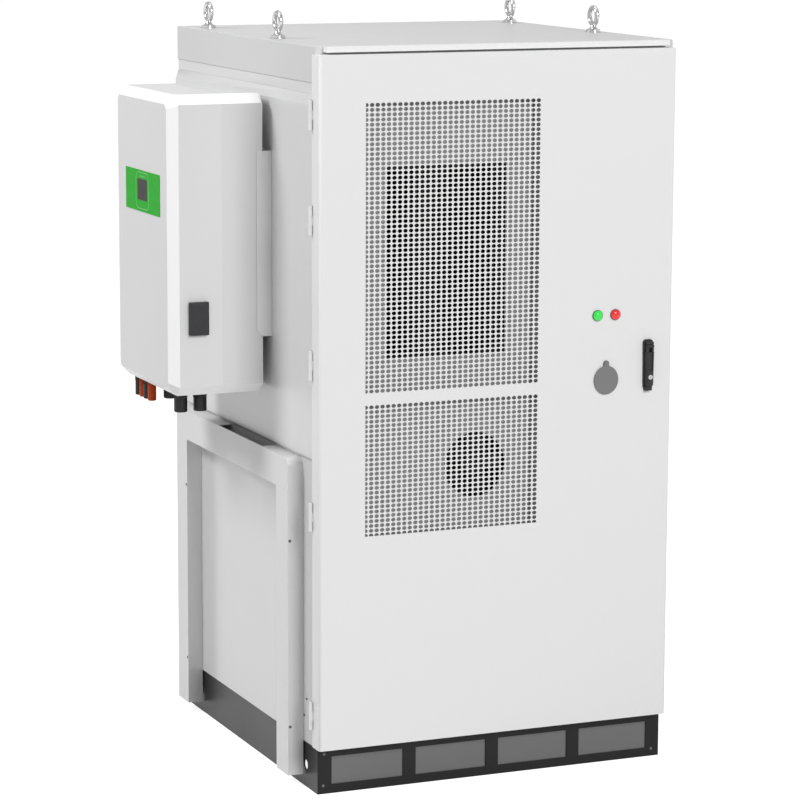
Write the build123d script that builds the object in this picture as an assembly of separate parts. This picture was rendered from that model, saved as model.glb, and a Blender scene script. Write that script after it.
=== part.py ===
from build123d import *
import math
import os

# Battery energy storage cabinet with a side mounted inverter.
# X points right, Y points back, Z points up. The door faces -Y.
# The origin lies on the floor, at the centre of the plinth's underside. All sizes are in millimetres.
# The battery modules and the door cooler set the size of the body, and everything else follows the body.

# Clearances
touch_gap = 0.3          # between separate bodies that lie close
run_gap = 0.05           # radial clearance of a pin or shaft in its bore
loose_gap = 1.0          # clearance of a shaft through a sheet
past = 1.0               # how far a cutter runs past the face that it opens

# Battery modules and their rack
module_count = 5
module_width = 800.0
module_depth = 780.0
module_height = 236.0
module_gap = 36.0        # free height between two modules
module_edge = 6.0
module_recess = 12.0
module_rim = 20.0
pole_radius = 14.0
pole_inset = 80.0        # from a module's side to the middle of its pole
grip_inset = 170.0
grip_width = 16.0
grip_height = 120.0
link_width = 24.0
link_thick = 4.0
rack_floor_gap = 46.0
upright_size = 40.0
runner_wall = 3.0
runner_lap = 30.0
box_height = 220.0
box_depth = 546.0
knob_radius = 32.0
knob_disc = 10.0
knob_grip = 20.0         # how far the grip bar stands out of the knob's disc
knob_grip_width = 16.0
knob_grip_inset = 2.0
side_space = 72.7        # from the rack to the frame, for cables and air
service_gap = 62.0       # from the door cooler to the modules
rear_space = 45.0        # from the modules to the frame
top_space = 276.0        # from the rack to the roof's lower edge

# Cabinet body
sheet = 2.0              # folded sheet of walls, roof and door
tube_size = 50.0         # square tube of the frame
tube_wall = 3.0
frame_inset = 6.0        # frame tubes behind the roof's side faces
band_depth = 3.0         # strip under the roof, thickness
lower_depth = 2.0        # lower wall sheets, thickness
panel_depth = 13.0       # insulated wall panels, thickness
panel_top_bevel = 30.0
panel_low_bevel = 12.0
bevel_step = 3.0         # sheet left standing at the bevels' thin end
roof_skirt = 104.0
band_height = 32.0

# Plinth
plinth_height = 140.0
plinth_side_inset = 7.0
plinth_wall = 4.0
plinth_flange = 60.0
window_count = 4
window_edge = 44.75      # from the plinth's side to the first window
window_mullion = 41.5
window_height = 85.0
window_lift = 27.0
window_lap = 10.0
window_plate = 3.0
anchor_hole = 14.0
anchor_inset_x = 42.0    # from the body's side
anchor_inset_y = 98.0
pull_hole = 30.0
pull_hole_back = 94.0    # from the front of the plinth
pull_hole_lift = 68.0
floor_sheet = 4.0
cable_hole_width = 320.0
cable_hole_depth = 150.0

# Rain lip over the door
lip_inset = 25.0
lip_reach = 31.0
lip_drop = 16.0

# Lifting eyes
eye_inset_x = 51.0
eye_front_inset = 431.0
eye_rear_inset = 153.0
eye_outer = 66.0
eye_inner = 36.0
eye_centre_lift = 50.0
collar_radius = 22.0
collar_rim = 6.5         # height of the collar's straight rim
collar_waist = 13.0      # radius half way up the collar's hollow curve
collar_waist_lift = 9.5
neck_radius = 9.5
neck_tip_radius = 6.0
eye_washer = 50.0
washer_thick = 3.0
eye_shank = 20.0
eye_shank_drop = 40.0
lifting_rail_width = 90.0

# Door
door_hinge_lap = 10.0    # how far the door reaches past the body's left side
door_latch_reveal = 18.0
door_thick = 57.0
door_back_gap = 2.0
door_bottom_gap = 8.0
door_top_gap = 6.0
door_corner = 7.0
door_return = 25.0
pivot_offset = 6.0       # hinge axis left of the door's edge
pivot_depth = 3.0        # hinge axis in front of the door's back face
hinge_low_lift = 97.0
hinge_high_drop = 171.0
hinge_shares = (0.0, 0.3377, 0.5902, 0.8292, 1.0)
hinge_length = 84.0
knuckle_radius = 5.5
hinge_pin_radius = 3.0
pin_head_radius = 4.5
pin_head = 2.0
hinge_arm = 1.6
hinge_arm_reach = 42.0
hinge_foot = 1.2
hinge_foot_width = 12.0
seal_width = 12.0
seal_thick = 1.7
stiffener_width = 30.0
stile_width = 74.0

# Grilles
grille_left_inset = 143.0
grille_right_inset = 441.0
lower_grille_lift = 632.0
lower_grille_height = 387.0
grille_bar = 33.0        # door sheet between the two grilles
upper_grille_drop = 137.0
grille_plate = 1.5
grille_hole = 12.0
grille_pitch_x = 52.5
grille_pitch_z = 43.5

# Door cooler
cooler_depth = 248.0
cooler_wall = 2.0
cooler_flange = 25.0
coil_window_side = 86.0
coil_window_foot = 87.0
coil_window_drop = 189.0
fan_inset = 180.0        # from the grille's right edge
fan_lift = 179.0         # from the lower grille's foot
fan_opening = 195.0
fan_tip_gap = 4.0
fan_depth = 34.0
fan_hub_radius = 34.0
fan_blades = 5
blade_thick = 2.5
blade_root_chord = 30.6
blade_tip_chord = 51.0
blade_root_angle = 55.0
blade_tip_angle = 68.0
coil_depth = 36.0
coil_header = 16.0
coil_pitch = 19.0
coil_fin = 4.0
coil_spacing = 50.0      # between the outer and the inner coil
motor_radius = 30.0
motor_length = 45.0
motor_gap = 3.0          # from a fan wheel to its motor's strap
shaft_grip = 9.0         # how deep a motor's shaft sits in its wheel
strap_width = 18.0
strap_thick = 3.0
blower_radius = 105.0
blower_inlet_radius = 69.0
blower_hub_radius = 26.0
blower_depth = 56.0
blower_drop = 161.0      # from the upper grille's top
blower_blades = 7
blower_blade = 2.6
blower_disc = 3.0
blower_root_radius = 65.0
blower_bow = 12.0        # how far a blade bows out of the radius
blower_tip_share = 0.92
blower_sweep_share = 0.36
supply_side = 66.0
supply_height = 105.0
compressor_radius = 68.0
compressor_height = 210.0
compressor_dome = 22.0
compressor_side = 20.0
compressor_back = 12.0

# Lamps and service port on the door
lamp_rise = 99.0         # over the handle's axis
red_inset = 190.0        # from the door's right edge
lamp_spacing = 59.0
lens_radius = 15.0
bezel_radius = 16.5
bezel_reach = 4.0
bezel_floor = 1.0
bezel_body_radius = 13.0
bezel_body = 30.0
lens_rim = 5.0           # straight part of the lens in front of the door
lens_reach = 12.0
port_inset = 219.0
port_fall = 96.0         # under the handle's axis
port_cover_half_x = 39.5
port_cover_half_z = 43.0
port_cover_thick = 3.0
port_tab_radius = 8.7
port_pivot_lift = 50.0
port_hole_radius = 28.0
port_neck_radius = 34.0
port_flange_radius = 37.0
port_flange = 3.0
port_neck = 26.0
port_rivet_radius = 4.0
port_head_radius = 6.4
port_head = 2.0

# Swing handle and door lock
handle_inset = 81.0      # from the door's right edge
handle_z = 1293.0
handle_width = 32.0
handle_foot_width = 28.0
handle_rise = 19.0
handle_corner = 10.0
handle_drop = 127.0      # from the turn axis to the foot of the base
foot_corner = 5.0
rest_width = 21.0
rest_drop = 135.0
rest_reach = 15.0
base_thick = 7.0
boss_height = 1.7        # keeps the ring behind the lever
hub_disc_radius = 12.5
hub_disc_thick = 6.0
cap_half = 12.0          # head cap of the hub, above the lever's ears
cap_low = 6.0
cap_high = 14.0
cap_reach = 20.0
cap_corner = 3.0
shaft_radius = 8.0
lug_width = 10.0
lever_pivot_reach = 19.0
lever_pin_radius = 2.5
ear_radius = 5.2
ear_step = 1.0           # ears narrower than the lever, each side
lever_width = 25.0
lever_tip_width = 22.0
lever_length = 121.0
lever_back = 9.0
lever_thick = 15.0
lever_corner = 5.0
lever_edge = 2.5
pocket_half = 7.0
pocket_depth = 3.0
pocket_drop = 74.0
key_radius = 7.0
key_drop = 93.0
key_stand = 1.5
key_slot_half = 1.0
key_slot_height = 8.0
key_slot_depth = 3.5
gear_module = 2.0
gear_teeth = 16
gear_width = 8.0
gear_backlash = 0.15
tooth_root = 1.25        # depth under the pitch line, in modules
pressure_angle = 20.0
rack_addendum = 1.7      # short of the module, so that the tips clear the pinion's flanks
rack_teeth = 9
rod_width = 10.0
rod_tip_edge = 3.0
rod_back_gap = 10.0      # from the door's back face to the rods
guide_wall = 4.0
guide_height = 24.0
guide_shares = (0.45, 0.9)
case_wall = 4.0
keeper_plate = 4.0
keeper_drop = 34.0
keeper_gap = 5.0         # rod tip to keeper with the lock drawn

# Cable duct on the left wall
duct_reach = 49.0
duct_front_inset = 107.0
duct_rear_inset = 96.0
duct_post_width = 96.0
duct_beam_height = 95.0
duct_foot_lift = 35.0
duct_corner = 25.0
duct_slot_front = 8.0    # slot's end in front of the inverter
duct_slot_rear = 133.0   # slot's end from the inverter's rear side

# Inverter
inverter_gap = 25.0      # from the wall panel to the inverter's back
inverter_depth = 291.0
inverter_seam = 130.0    # depth of the rear case
inverter_front_inset = 336.0
inverter_width = 510.0
inverter_height = 890.0
inverter_top_gap = 18.0
inverter_duct_gap = 161.0
inverter_bevel = 28.0
inverter_back_round = 8.0
inverter_wall = 3.0
plate_margin = 169.0     # from the inverter's ends to the side plates
plate_lap = 22.0
plate_thick = 3.0
plate_bevel = 18.0
panel_front_inset = 89.0
panel_rear_inset = 104.0
panel_drop = 240.0
panel_height = 124.0
panel_thick = 1.5
display_inset = 115.0
display_width = 91.0
display_drop = 26.0
display_height = 64.0
display_thick = 1.2
switch_lift = 184.0
switch_height = 98.0
switch_width = 58.0
switch_reach = 20.0
switch_setback = 56.0
switch_edge = 4.0
gland_radius = 20.0
gland_nut = 22.0         # corner radius of the nut
gland_drop = 60.0
gland_front_inset = 97.0
gland_rear_inset = 166.0
gland_setbacks = (62.0, 123.0, 113.0)
terminal_radius = 13.0
terminal_nut = 14.5
terminal_drop = 65.0
terminal_setback = 56.0
terminal_inset = 163.0
terminal_pitch = 40.0
neck_share = 0.75        # neck radius of a gland to its body's radius
nut_share = 0.3          # nut height of a gland to its drop
gland_edge = 2.0

# Overall sizes of the body
module_pitch = module_height + module_gap
rack_rise = rack_floor_gap + module_pitch * module_count + box_height + tube_size
rack_side = touch_gap + runner_wall + upright_size
body_width = module_width + 2 * (rack_side + side_space + tube_size + frame_inset)
body_depth = cooler_depth - door_back_gap + service_gap + module_depth + rear_space + tube_size + panel_depth
body_height = plinth_height + floor_sheet + rack_rise + top_space + roof_skirt

# Places worked out from the sizes above
body_x = body_width / 2
body_y = body_depth / 2
roof_low = body_height - roof_skirt
band_low = roof_low - band_height
frame_x = body_x - frame_inset
frame_front_y = -body_y + sheet
frame_rear_y = body_y - panel_depth
rail_low = plinth_height + floor_sheet
rail_high = rail_low + tube_size
opening_x = frame_x - tube_size
band_x = frame_x + band_depth
lower_x = frame_x + lower_depth
panel_x = frame_x + panel_depth
plinth_x = body_x - plinth_side_inset
window_width = (2 * (plinth_x - window_edge) - window_mullion * (window_count - 1)) / window_count
window_pitch = window_width + window_mullion
anchor_x = body_x - anchor_inset_x
anchor_y = body_y - anchor_inset_y
eye_x = body_x - eye_inset_x
eye_front_y = -body_y + eye_front_inset
eye_rear_y = body_y - eye_rear_inset
door_left = -(body_x + door_hinge_lap)
door_right = body_x - door_latch_reveal
door_back_y = -body_y - door_back_gap
door_front_y = door_back_y - door_thick
door_low = plinth_height + door_bottom_gap
door_high = body_height - lip_drop - door_top_gap
skin_y = door_front_y + sheet
pivot_x = door_left - pivot_offset
pivot_y = door_back_y - pivot_depth
hinge_low = door_low + hinge_low_lift
hinge_high = door_high - hinge_high_drop
hinge_heights = [hinge_low + (hinge_high - hinge_low) * share for share in hinge_shares]
grille_left = door_left + grille_left_inset
grille_right = door_right - grille_right_inset
grille_x = (grille_left + grille_right) / 2
lower_grille_low = door_low + lower_grille_lift
lower_grille_high = lower_grille_low + lower_grille_height
upper_grille_low = lower_grille_high + grille_bar
upper_grille_high = door_high - upper_grille_drop
cooler_back_y = door_back_y + cooler_depth
coil_left = grille_left + coil_window_side
coil_right = grille_right - coil_window_side
coil_low = upper_grille_low + coil_window_foot
coil_high = upper_grille_high - coil_window_drop
partition_y = door_back_y + coil_depth + coil_spacing / 2
fan_x = grille_right - fan_inset
fan_z = lower_grille_low + fan_lift
divider_z = (coil_low + fan_z + fan_opening / 2) / 2
blower_z = upper_grille_high - blower_drop
handle_x = door_right - handle_inset
lamp_z = handle_z + lamp_rise
red_x = door_right - red_inset
green_x = red_x - lamp_spacing
port_x = door_right - port_inset
port_z = handle_z - port_fall
port_front_y = door_front_y - port_flange
pitch_radius = gear_module * gear_teeth / 2
rod_front_y = door_back_y + rod_back_gap
rod_back_y = rod_front_y + gear_width
rod_root = pitch_radius + tooth_root * gear_module
upper_rod_x = handle_x - rod_root - rod_width / 2
lower_rod_x = handle_x + rod_root + rod_width / 2
upper_tip_z = band_low - keeper_drop - keeper_gap
lower_tip_z = rail_high + keeper_drop + keeper_gap
stile_left = handle_x - stile_width / 2
stile_right = handle_x + stile_width / 2
module_front_y = cooler_back_y + service_gap
module_rear_y = module_front_y + module_depth
rack_x = module_width / 2 + touch_gap
rack_high = rail_low + rack_rise
knob_x = module_width / 4
inverter_back_x = -(panel_x + inverter_gap)
inverter_face_x = inverter_back_x - inverter_depth
inverter_seam_x = inverter_back_x - inverter_seam
inverter_front_y = -body_y + inverter_front_inset
inverter_rear_y = inverter_front_y + inverter_width
inverter_high = band_low - inverter_top_gap
inverter_low = inverter_high - inverter_height
plate_low = inverter_low + plate_margin
plate_high = inverter_high - plate_margin
panel_front_y = inverter_front_y + panel_front_inset
panel_rear_y = inverter_rear_y - panel_rear_inset
panel_high = inverter_high - panel_drop
panel_low = panel_high - panel_height
display_front_y = panel_front_y + display_inset
display_rear_y = display_front_y + display_width
display_high = panel_high - display_drop
display_low = display_high - display_height
duct_x = lower_x + duct_reach
duct_front_y = -body_y + duct_front_inset
duct_rear_y = body_y - duct_rear_inset
duct_beam_high = inverter_low - inverter_duct_gap
duct_beam_low = duct_beam_high - duct_beam_height
lower_wall_high = duct_beam_high + loose_gap


def block(x0, x1, y0, y1, z0, z1):
    """Box between two opposite corners."""
    centre = Pos((x0 + x1) / 2, (y0 + y1) / 2, (z0 + z1) / 2)
    return centre * Box(abs(x1 - x0), abs(y1 - y0), abs(z1 - z0))


def bar_x(x0, x1, y, z, radius):
    """Round bar along X."""
    return Pos((x0 + x1) / 2, y, z) * Rot(0, 90, 0) * Cylinder(radius, abs(x1 - x0))


def bar_y(x, y0, y1, z, radius):
    """Round bar along Y."""
    return Pos(x, (y0 + y1) / 2, z) * Rot(90, 0, 0) * Cylinder(radius, abs(y1 - y0))


def bar_z(x, y, z0, z1, radius):
    """Round bar along Z."""
    return Pos(x, y, (z0 + z1) / 2) * Cylinder(radius, abs(z1 - z0))


def mirror_x(shape):
    """The same shape on the cabinet's other side."""
    return mirror(shape, about=Plane.YZ)


def group(solids):
    """Separate solids that share one node."""
    return Compound(children=list(solids))


def tube_z(x0, x1, y0, y1, z0, z1, wall):
    """Rectangular tube that stands upright."""
    core = block(x0 + wall, x1 - wall, y0 + wall, y1 - wall, z0 - past, z1 + past)
    return block(x0, x1, y0, y1, z0, z1) - core


def tube_x(x0, x1, y0, y1, z0, z1, wall):
    """Rectangular tube that lies along X."""
    core = block(x0 - past, x1 + past, y0 + wall, y1 - wall, z0 + wall, z1 - wall)
    return block(x0, x1, y0, y1, z0, z1) - core


def tube_y(x0, x1, y0, y1, z0, z1, wall):
    """Rectangular tube that lies along Y."""
    core = block(x0 + wall, x1 - wall, y0 - past, y1 + past, z0 + wall, z1 - wall)
    return block(x0, x1, y0, y1, z0, z1) - core


def prism_y(points, y0, y1):
    """Outline in X and Z, carried along Y."""
    face = make_face(Polyline([(x, y0, z) for x, z in points], close=True))
    return extrude(face, amount=y1 - y0, dir=(0, 1, 0))


def prism_x(points, x0, x1):
    """Outline in Y and Z, carried along X."""
    face = make_face(Polyline([(x0, y, z) for y, z in points], close=True))
    return extrude(face, amount=x1 - x0, dir=(1, 0, 0))


def window_centres():
    """X places of the plinth windows."""
    first = -window_pitch * (window_count - 1) / 2
    return [first + window_pitch * i for i in range(window_count)]


def plinth_channel_x(y_outer, inward):
    """Front or rear channel of the plinth, with its web at y_outer and closed ends."""
    y_in = y_outer + inward * plinth_flange
    y_web = y_outer + inward * plinth_wall
    channel = block(-plinth_x, plinth_x, y_outer, y_in, 0, plinth_height)
    inner = plinth_x - plinth_wall
    high = plinth_height - plinth_wall
    return channel - block(-inner, inner, y_web, y_in + inward * past, plinth_wall, high)


def plinth_channel_y(side):
    """Side channel of the plinth, between the front and rear channels."""
    outer = side * plinth_x
    inner = outer - side * plinth_flange
    web = outer - side * plinth_wall
    reach = body_y - plinth_flange
    high = plinth_height - plinth_wall
    channel = block(outer, inner, -reach, reach, 0, plinth_height)
    channel -= block(web, inner - side * past, -reach - past, reach + past, plinth_wall, high)
    for y in (-anchor_y, anchor_y):
        channel -= bar_z(side * anchor_x, y, -past, plinth_wall + past, anchor_hole / 2)
    hole_y = -body_y + pull_hole_back
    return channel - bar_x(outer + side * past, web - side * past, hole_y, pull_hole_lift, pull_hole / 2)


def make_plinth_frame():
    """Four folded channels that carry the cabinet."""
    front = plinth_channel_x(-body_y, 1)
    rear = plinth_channel_x(body_y, -1)
    y0 = -body_y - past
    y1 = -body_y + plinth_wall + past
    half = window_width / 2
    for x in window_centres():
        front -= block(x - half, x + half, y0, y1, window_lift, window_lift + window_height)
    return group([front, rear, plinth_channel_y(-1), plinth_channel_y(1)])


def make_plinth_windows():
    """Cover plates screwed behind the windows of the front channel."""
    y0 = -body_y + plinth_wall
    low = window_lift - window_lap
    high = window_lift + window_height + window_lap
    half = window_width / 2 + window_lap
    return group([block(x - half, x + half, y0, y0 + window_plate, low, high) for x in window_centres()])


def make_floor_plate():
    """Floor sheet with the opening for the incoming cables."""
    floor = block(-plinth_x, plinth_x, frame_front_y, frame_rear_y, plinth_height, rail_low)
    front = module_front_y - cable_hole_depth
    half = cable_hole_width / 2
    return floor - block(-half, half, front, module_front_y, plinth_height - past, rail_low + past)


def make_corner_posts():
    """Upright square tubes of the cabinet frame."""
    posts = []
    for x0 in (-frame_x, frame_x - tube_size):
        for y0 in (frame_front_y, frame_rear_y - tube_size):
            posts.append(tube_z(x0, x0 + tube_size, y0, y0 + tube_size, rail_low, roof_low, tube_wall))
    return group(posts)


def make_frame_rails():
    """Cross tubes between the posts, at the floor and under the roof."""
    rails = []
    front = frame_front_y + tube_size
    rear = frame_rear_y - tube_size
    for z0, z1 in ((rail_low, rail_high), (band_low, roof_low)):
        for y0 in (frame_front_y, rear):
            rails.append(tube_x(-opening_x, opening_x, y0, y0 + tube_size, z0, z1, tube_wall))
        for x0 in (-frame_x, frame_x - tube_size):
            rails.append(tube_y(x0, x0 + tube_size, front, rear, z0, z1, tube_wall))
    return group(rails)


def make_front_trim():
    """Flat sheets on the frame's front, which the door seal meets."""
    y0 = -body_y
    y1 = frame_front_y
    strips = [block(-opening_x, opening_x, y0, y1, rail_low, rail_high)]
    strips.append(block(-opening_x, opening_x, y0, y1, band_low, roof_low))
    strips.append(block(-frame_x, -opening_x, y0, y1, rail_low, roof_low))
    strips.append(block(opening_x, frame_x, y0, y1, rail_low, roof_low))
    return group(strips)


def wall_panel_outline(inner, outward, low, high):
    """Section of an insulated wall panel with bevels at its top and foot."""
    thin = inner + outward * bevel_step
    face = inner + outward * panel_depth
    points = [(inner, low), (thin, low), (face, low + panel_low_bevel)]
    points += [(face, high - panel_top_bevel), (thin, high), (inner, high)]
    return points


def make_side_panels():
    """Raised insulated panels on the left and right walls."""
    outline = wall_panel_outline(-frame_x, -1, lower_wall_high, band_low)
    panel = prism_y(outline, -body_y, body_y)
    return group([panel, mirror_x(panel)])


def make_rear_panel():
    """Raised insulated panel across the back."""
    outline = wall_panel_outline(frame_rear_y, 1, rail_low, band_low)
    return prism_x(outline, -frame_x, frame_x)


def make_wall_sheets():
    """Plain lower side sheets and the narrow strips under the roof."""
    left = block(-lower_x, -frame_x, -body_y, body_y, plinth_height, lower_wall_high)
    strip = block(-band_x, -frame_x, -body_y, body_y, band_low, roof_low)
    rear = block(-frame_x, frame_x, frame_rear_y, body_y - frame_inset, band_low, roof_low)
    return group([left, mirror_x(left), strip, mirror_x(strip), rear])


def eye_places():
    """Centres of the four lifting eyes on the roof."""
    return [(x, y) for x in (-eye_x, eye_x) for y in (eye_front_y, eye_rear_y)]


def make_roof():
    """Folded roof cap with holes for the lifting eyes."""
    cap = block(-body_x, body_x, -body_y, body_y, roof_low, body_height)
    cap = chamfer(cap.edges().group_by(Axis.Z)[-1], sheet)
    inner_x = body_x - sheet
    inner_y = body_y - sheet
    cap -= block(-inner_x, inner_x, -inner_y, inner_y, roof_low - past, body_height - sheet)
    for x, y in eye_places():
        cap -= bar_z(x, y, body_height - sheet - past, body_height + past, eye_shank / 2 + touch_gap)
    return cap


def make_rain_lip():
    """Folded strip that keeps rain off the top of the door."""
    half = body_x - lip_inset
    low = body_height - lip_drop
    front = -body_y - lip_reach
    lip = block(-half, half, front, -body_y, low, body_height)
    inner = half - sheet
    return lip - block(-inner, inner, front + sheet, -body_y - sheet, low - past, body_height - sheet)


def make_lifting_rails():
    """Wide channels under the roof that spread the load of the lifting eyes."""
    rails = []
    rear = body_y - 2 * sheet
    top = body_height - sheet
    for middle in (-eye_x, eye_x):
        x0 = middle - lifting_rail_width / 2
        x1 = middle + lifting_rail_width / 2
        rail = block(x0, x1, -rear, rear, roof_low, top)
        under = roof_low - past
        rail -= block(x0 + tube_wall, x1 - tube_wall, -rear - past, rear + past, under, top - tube_wall)
        for y in (eye_front_y, eye_rear_y):
            rail -= bar_z(middle, y, top - tube_wall - past, top + past, eye_shank / 2 + touch_gap)
        rails.append(rail)
    return group(rails)


def eye_collar(ring_bottom, ring_middle):
    """Turned collar: a straight rim, then a hollow curve up to the ring."""
    seat = body_height + washer_thick
    rim = seat + collar_rim
    outline = Polyline((0, 0, seat), (collar_radius, 0, seat), (collar_radius, 0, rim))
    waist = (collar_waist, 0, seat + collar_waist_lift)
    outline += ThreePointArc((collar_radius, 0, rim), waist, (neck_radius, 0, ring_bottom))
    outline += Polyline((neck_radius, 0, ring_bottom), (neck_tip_radius, 0, ring_middle),
                        (0, 0, ring_middle), (0, 0, seat))
    return revolve(make_face(outline), axis=Axis.Z)


def lifting_eye(x, y):
    """One forged ring with its turned collar and shank."""
    ring_radius = (eye_outer + eye_inner) / 4
    bar_radius = (eye_outer - eye_inner) / 4
    centre = body_height + eye_centre_lift
    ring = Pos(x, y, centre) * Rot(0, 90, 0) * Torus(ring_radius, bar_radius)
    collar = Pos(x, y, 0) * eye_collar(centre - eye_outer / 2, centre - ring_radius)
    seat = body_height + washer_thick
    shank = bar_z(x, y, body_height - eye_shank_drop, seat, eye_shank / 2)
    return ring + collar + shank


def make_lifting_eyes():
    """Four lifting eyes, each on its own washer."""
    solids = []
    top = body_height + washer_thick
    for x, y in eye_places():
        solids.append(lifting_eye(x, y))
        washer = bar_z(x, y, body_height, top, eye_washer / 2)
        solids.append(washer - bar_z(x, y, body_height - past, top + past, eye_shank / 2))
    return group(solids)


def make_door_seal():
    """Rubber strips round the opening, squeezed by the closed door."""
    inner = opening_x + seal_width / 2
    outer = inner + seal_width
    low = rail_high - seal_width / 2
    high = band_low + seal_width / 2
    y0 = -body_y - seal_thick
    strips = [block(-outer, outer, y0, -body_y, low - seal_width, low)]
    strips.append(block(-outer, outer, y0, -body_y, high, high + seal_width))
    strips.append(block(-outer, -inner, y0, -body_y, low, high))
    strips.append(block(inner, outer, y0, -body_y, low, high))
    return group(strips)


def hinge_thirds(z):
    """Heights at which the three knuckles of a hinge meet."""
    third = hinge_length / 3
    return z - 1.5 * third, z - 0.5 * third, z + 0.5 * third, z + 1.5 * third


def make_hinge_brackets():
    """Fixed hinge halves: two knuckles on an arm behind the door."""
    brackets = []
    arm_y = -body_y - hinge_arm
    for height in hinge_heights:
        z0, z1, z2, z3 = hinge_thirds(height)
        low = z1 - touch_gap
        high = z2 + touch_gap
        bracket = block(pivot_x, pivot_x + hinge_arm_reach, arm_y, -body_y, z0, z3)
        bracket -= block(pivot_x - past, door_left, arm_y - past, -body_y + past, low, high)
        bracket += bar_z(pivot_x, pivot_y, z0, low, knuckle_radius)
        bracket += bar_z(pivot_x, pivot_y, high, z3, knuckle_radius)
        bracket -= bar_z(pivot_x, pivot_y, z0 - past, z3 + past, hinge_pin_radius + run_gap)
        brackets.append(bracket)
    return group(brackets)


def make_hinge_pins():
    """Headed pins through the hinge knuckles."""
    pins = []
    for height in hinge_heights:
        z0, _, _, z3 = hinge_thirds(height)
        pin = bar_z(pivot_x, pivot_y, z0, z3, hinge_pin_radius)
        pins.append(pin + bar_z(pivot_x, pivot_y, z3, z3 + pin_head, pin_head_radius))
    return group(pins)


def make_hinge_knuckles():
    """Moving hinge halves: a knuckle on a foot welded to the door's edge."""
    knuckles = []
    for height in hinge_heights:
        _, z1, z2, _ = hinge_thirds(height)
        knuckle = bar_z(pivot_x, pivot_y, z1, z2, knuckle_radius)
        knuckle += block(pivot_x, door_left, pivot_y - knuckle_radius, pivot_y, z1, z2)
        pad_front = door_back_y - hinge_foot_width
        knuckle += block(door_left - hinge_foot, door_left, pad_front, pivot_y, z1, z2)
        knuckle -= bar_z(pivot_x, pivot_y, z1 - past, z2 + past, hinge_pin_radius + run_gap)
        knuckles.append(knuckle)
    return group(knuckles)


def keeper(x, rail_face, upward):
    """Bracket on a rail with a slot for the tip of a lock rod."""
    tip_face = rail_face - upward * keeper_drop
    plate = tip_face + upward * keeper_plate
    half = rod_width / 2 + 2 * keeper_plate
    front = frame_front_y
    rear = rod_back_y + 2 * keeper_plate
    shape = block(x - half, x + half, front, rear, tip_face, rail_face)
    inner_front = front + keeper_plate / 2
    shape -= block(x - half - past, x + half + past, inner_front, rear - keeper_plate, plate, rail_face)
    slot = rod_width / 2 + loose_gap
    y0 = rod_front_y - loose_gap
    y1 = rod_back_y + loose_gap
    return shape - block(x - slot, x + slot, y0, y1, tip_face - upward * past, plate + upward * past)


def make_lock_keepers():
    """Upper and lower keepers for the two lock rods."""
    return group([keeper(upper_rod_x, band_low, 1), keeper(lower_rod_x, rail_high, -1)])


def module_base(i):
    """Height of the underside of battery module i."""
    return rail_low + rack_floor_gap + module_pitch * i


def runner(side, z):
    """Angle that carries one side of a battery module."""
    wall_x = side * rack_x
    lap_x = wall_x - side * runner_lap
    upright_x = wall_x + side * runner_wall
    low = z - runner_wall
    leg = block(wall_x, upright_x, module_front_y, module_rear_y, low, z + 2 * runner_lap)
    return leg + block(lap_x, upright_x, module_front_y, module_rear_y, low, z)


def make_battery_rack():
    """Four uprights with a pair of runners for each unit."""
    solids = []
    for side in (-1, 1):
        near = side * (rack_x + runner_wall)
        x0 = min(near, near + side * upright_size)
        x1 = x0 + upright_size
        for y0 in (module_front_y, module_rear_y - upright_size):
            solids.append(tube_z(x0, x1, y0, y0 + upright_size, rail_low, rack_high, tube_wall))
        for i in range(module_count + 1):
            solids.append(runner(side, module_base(i)))
    return group(solids)


def make_battery_module(i):
    """Sealed battery module with a recessed front, two grips and two power poles."""
    z0 = module_base(i)
    z1 = z0 + module_height
    half = module_width / 2
    case = block(-half, half, module_front_y, module_rear_y, z0, z1)
    case = chamfer(case.edges().filter_by(Axis.Y), module_edge)
    inner = half - module_rim
    floor_y = module_front_y + module_recess
    case -= block(-inner, inner, module_front_y - past, floor_y, z0 + module_rim, z1 - module_rim)
    middle = (z0 + z1) / 2
    low = middle - grip_height / 2
    for side in (-1, 1):
        case += bar_y(side * (half - pole_inset), module_front_y, floor_y + past, middle, pole_radius)
        grip = side * (half - grip_inset)
        outer = grip + side * grip_width
        case += block(grip, outer, module_front_y, floor_y + past, low, low + grip_height)
    return case


def make_module_links():
    """Copper links that join the modules' poles one above the other."""
    links = []
    y0 = module_front_y - link_thick
    half = link_width / 2
    for i in range(module_count - 1):
        side = 1 if i % 2 == 0 else -1
        x = side * (module_width / 2 - pole_inset)
        low = module_base(i) + module_height / 2
        high = low + module_pitch
        link = block(x - half, x + half, y0, module_front_y, low, high)
        link += bar_y(x, y0, module_front_y, low, half)
        links.append(link + bar_y(x, y0, module_front_y, high, half))
    return group(links)


def make_high_voltage_box():
    """Switching box on the top runners, open at the back for its cables."""
    z0 = module_base(module_count)
    z1 = z0 + box_height
    half = module_width / 2
    rear = module_front_y + box_depth
    box = block(-half, half, module_front_y, rear, z0, z1)
    inner = half - sheet
    box -= block(-inner, inner, module_front_y + sheet, rear + past, z0 + sheet, z1 - sheet)
    front = module_front_y - past
    return box - bar_y(knob_x, front, module_front_y + sheet + past, (z0 + z1) / 2, shaft_radius + run_gap)


def make_disconnect_knob():
    """Rotary disconnect knob with its grip bar and shaft."""
    z = module_base(module_count) + box_height / 2
    back = module_front_y - touch_gap
    front = back - knob_disc
    half = knob_grip_width / 2
    reach = knob_radius - knob_grip_inset
    knob = bar_y(knob_x, front, back, z, knob_radius)
    knob += block(knob_x - half, knob_x + half, front - knob_grip, front, z - reach, z + reach)
    return knob + bar_y(knob_x, back, module_front_y + 3 * sheet, z, shaft_radius)


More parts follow.
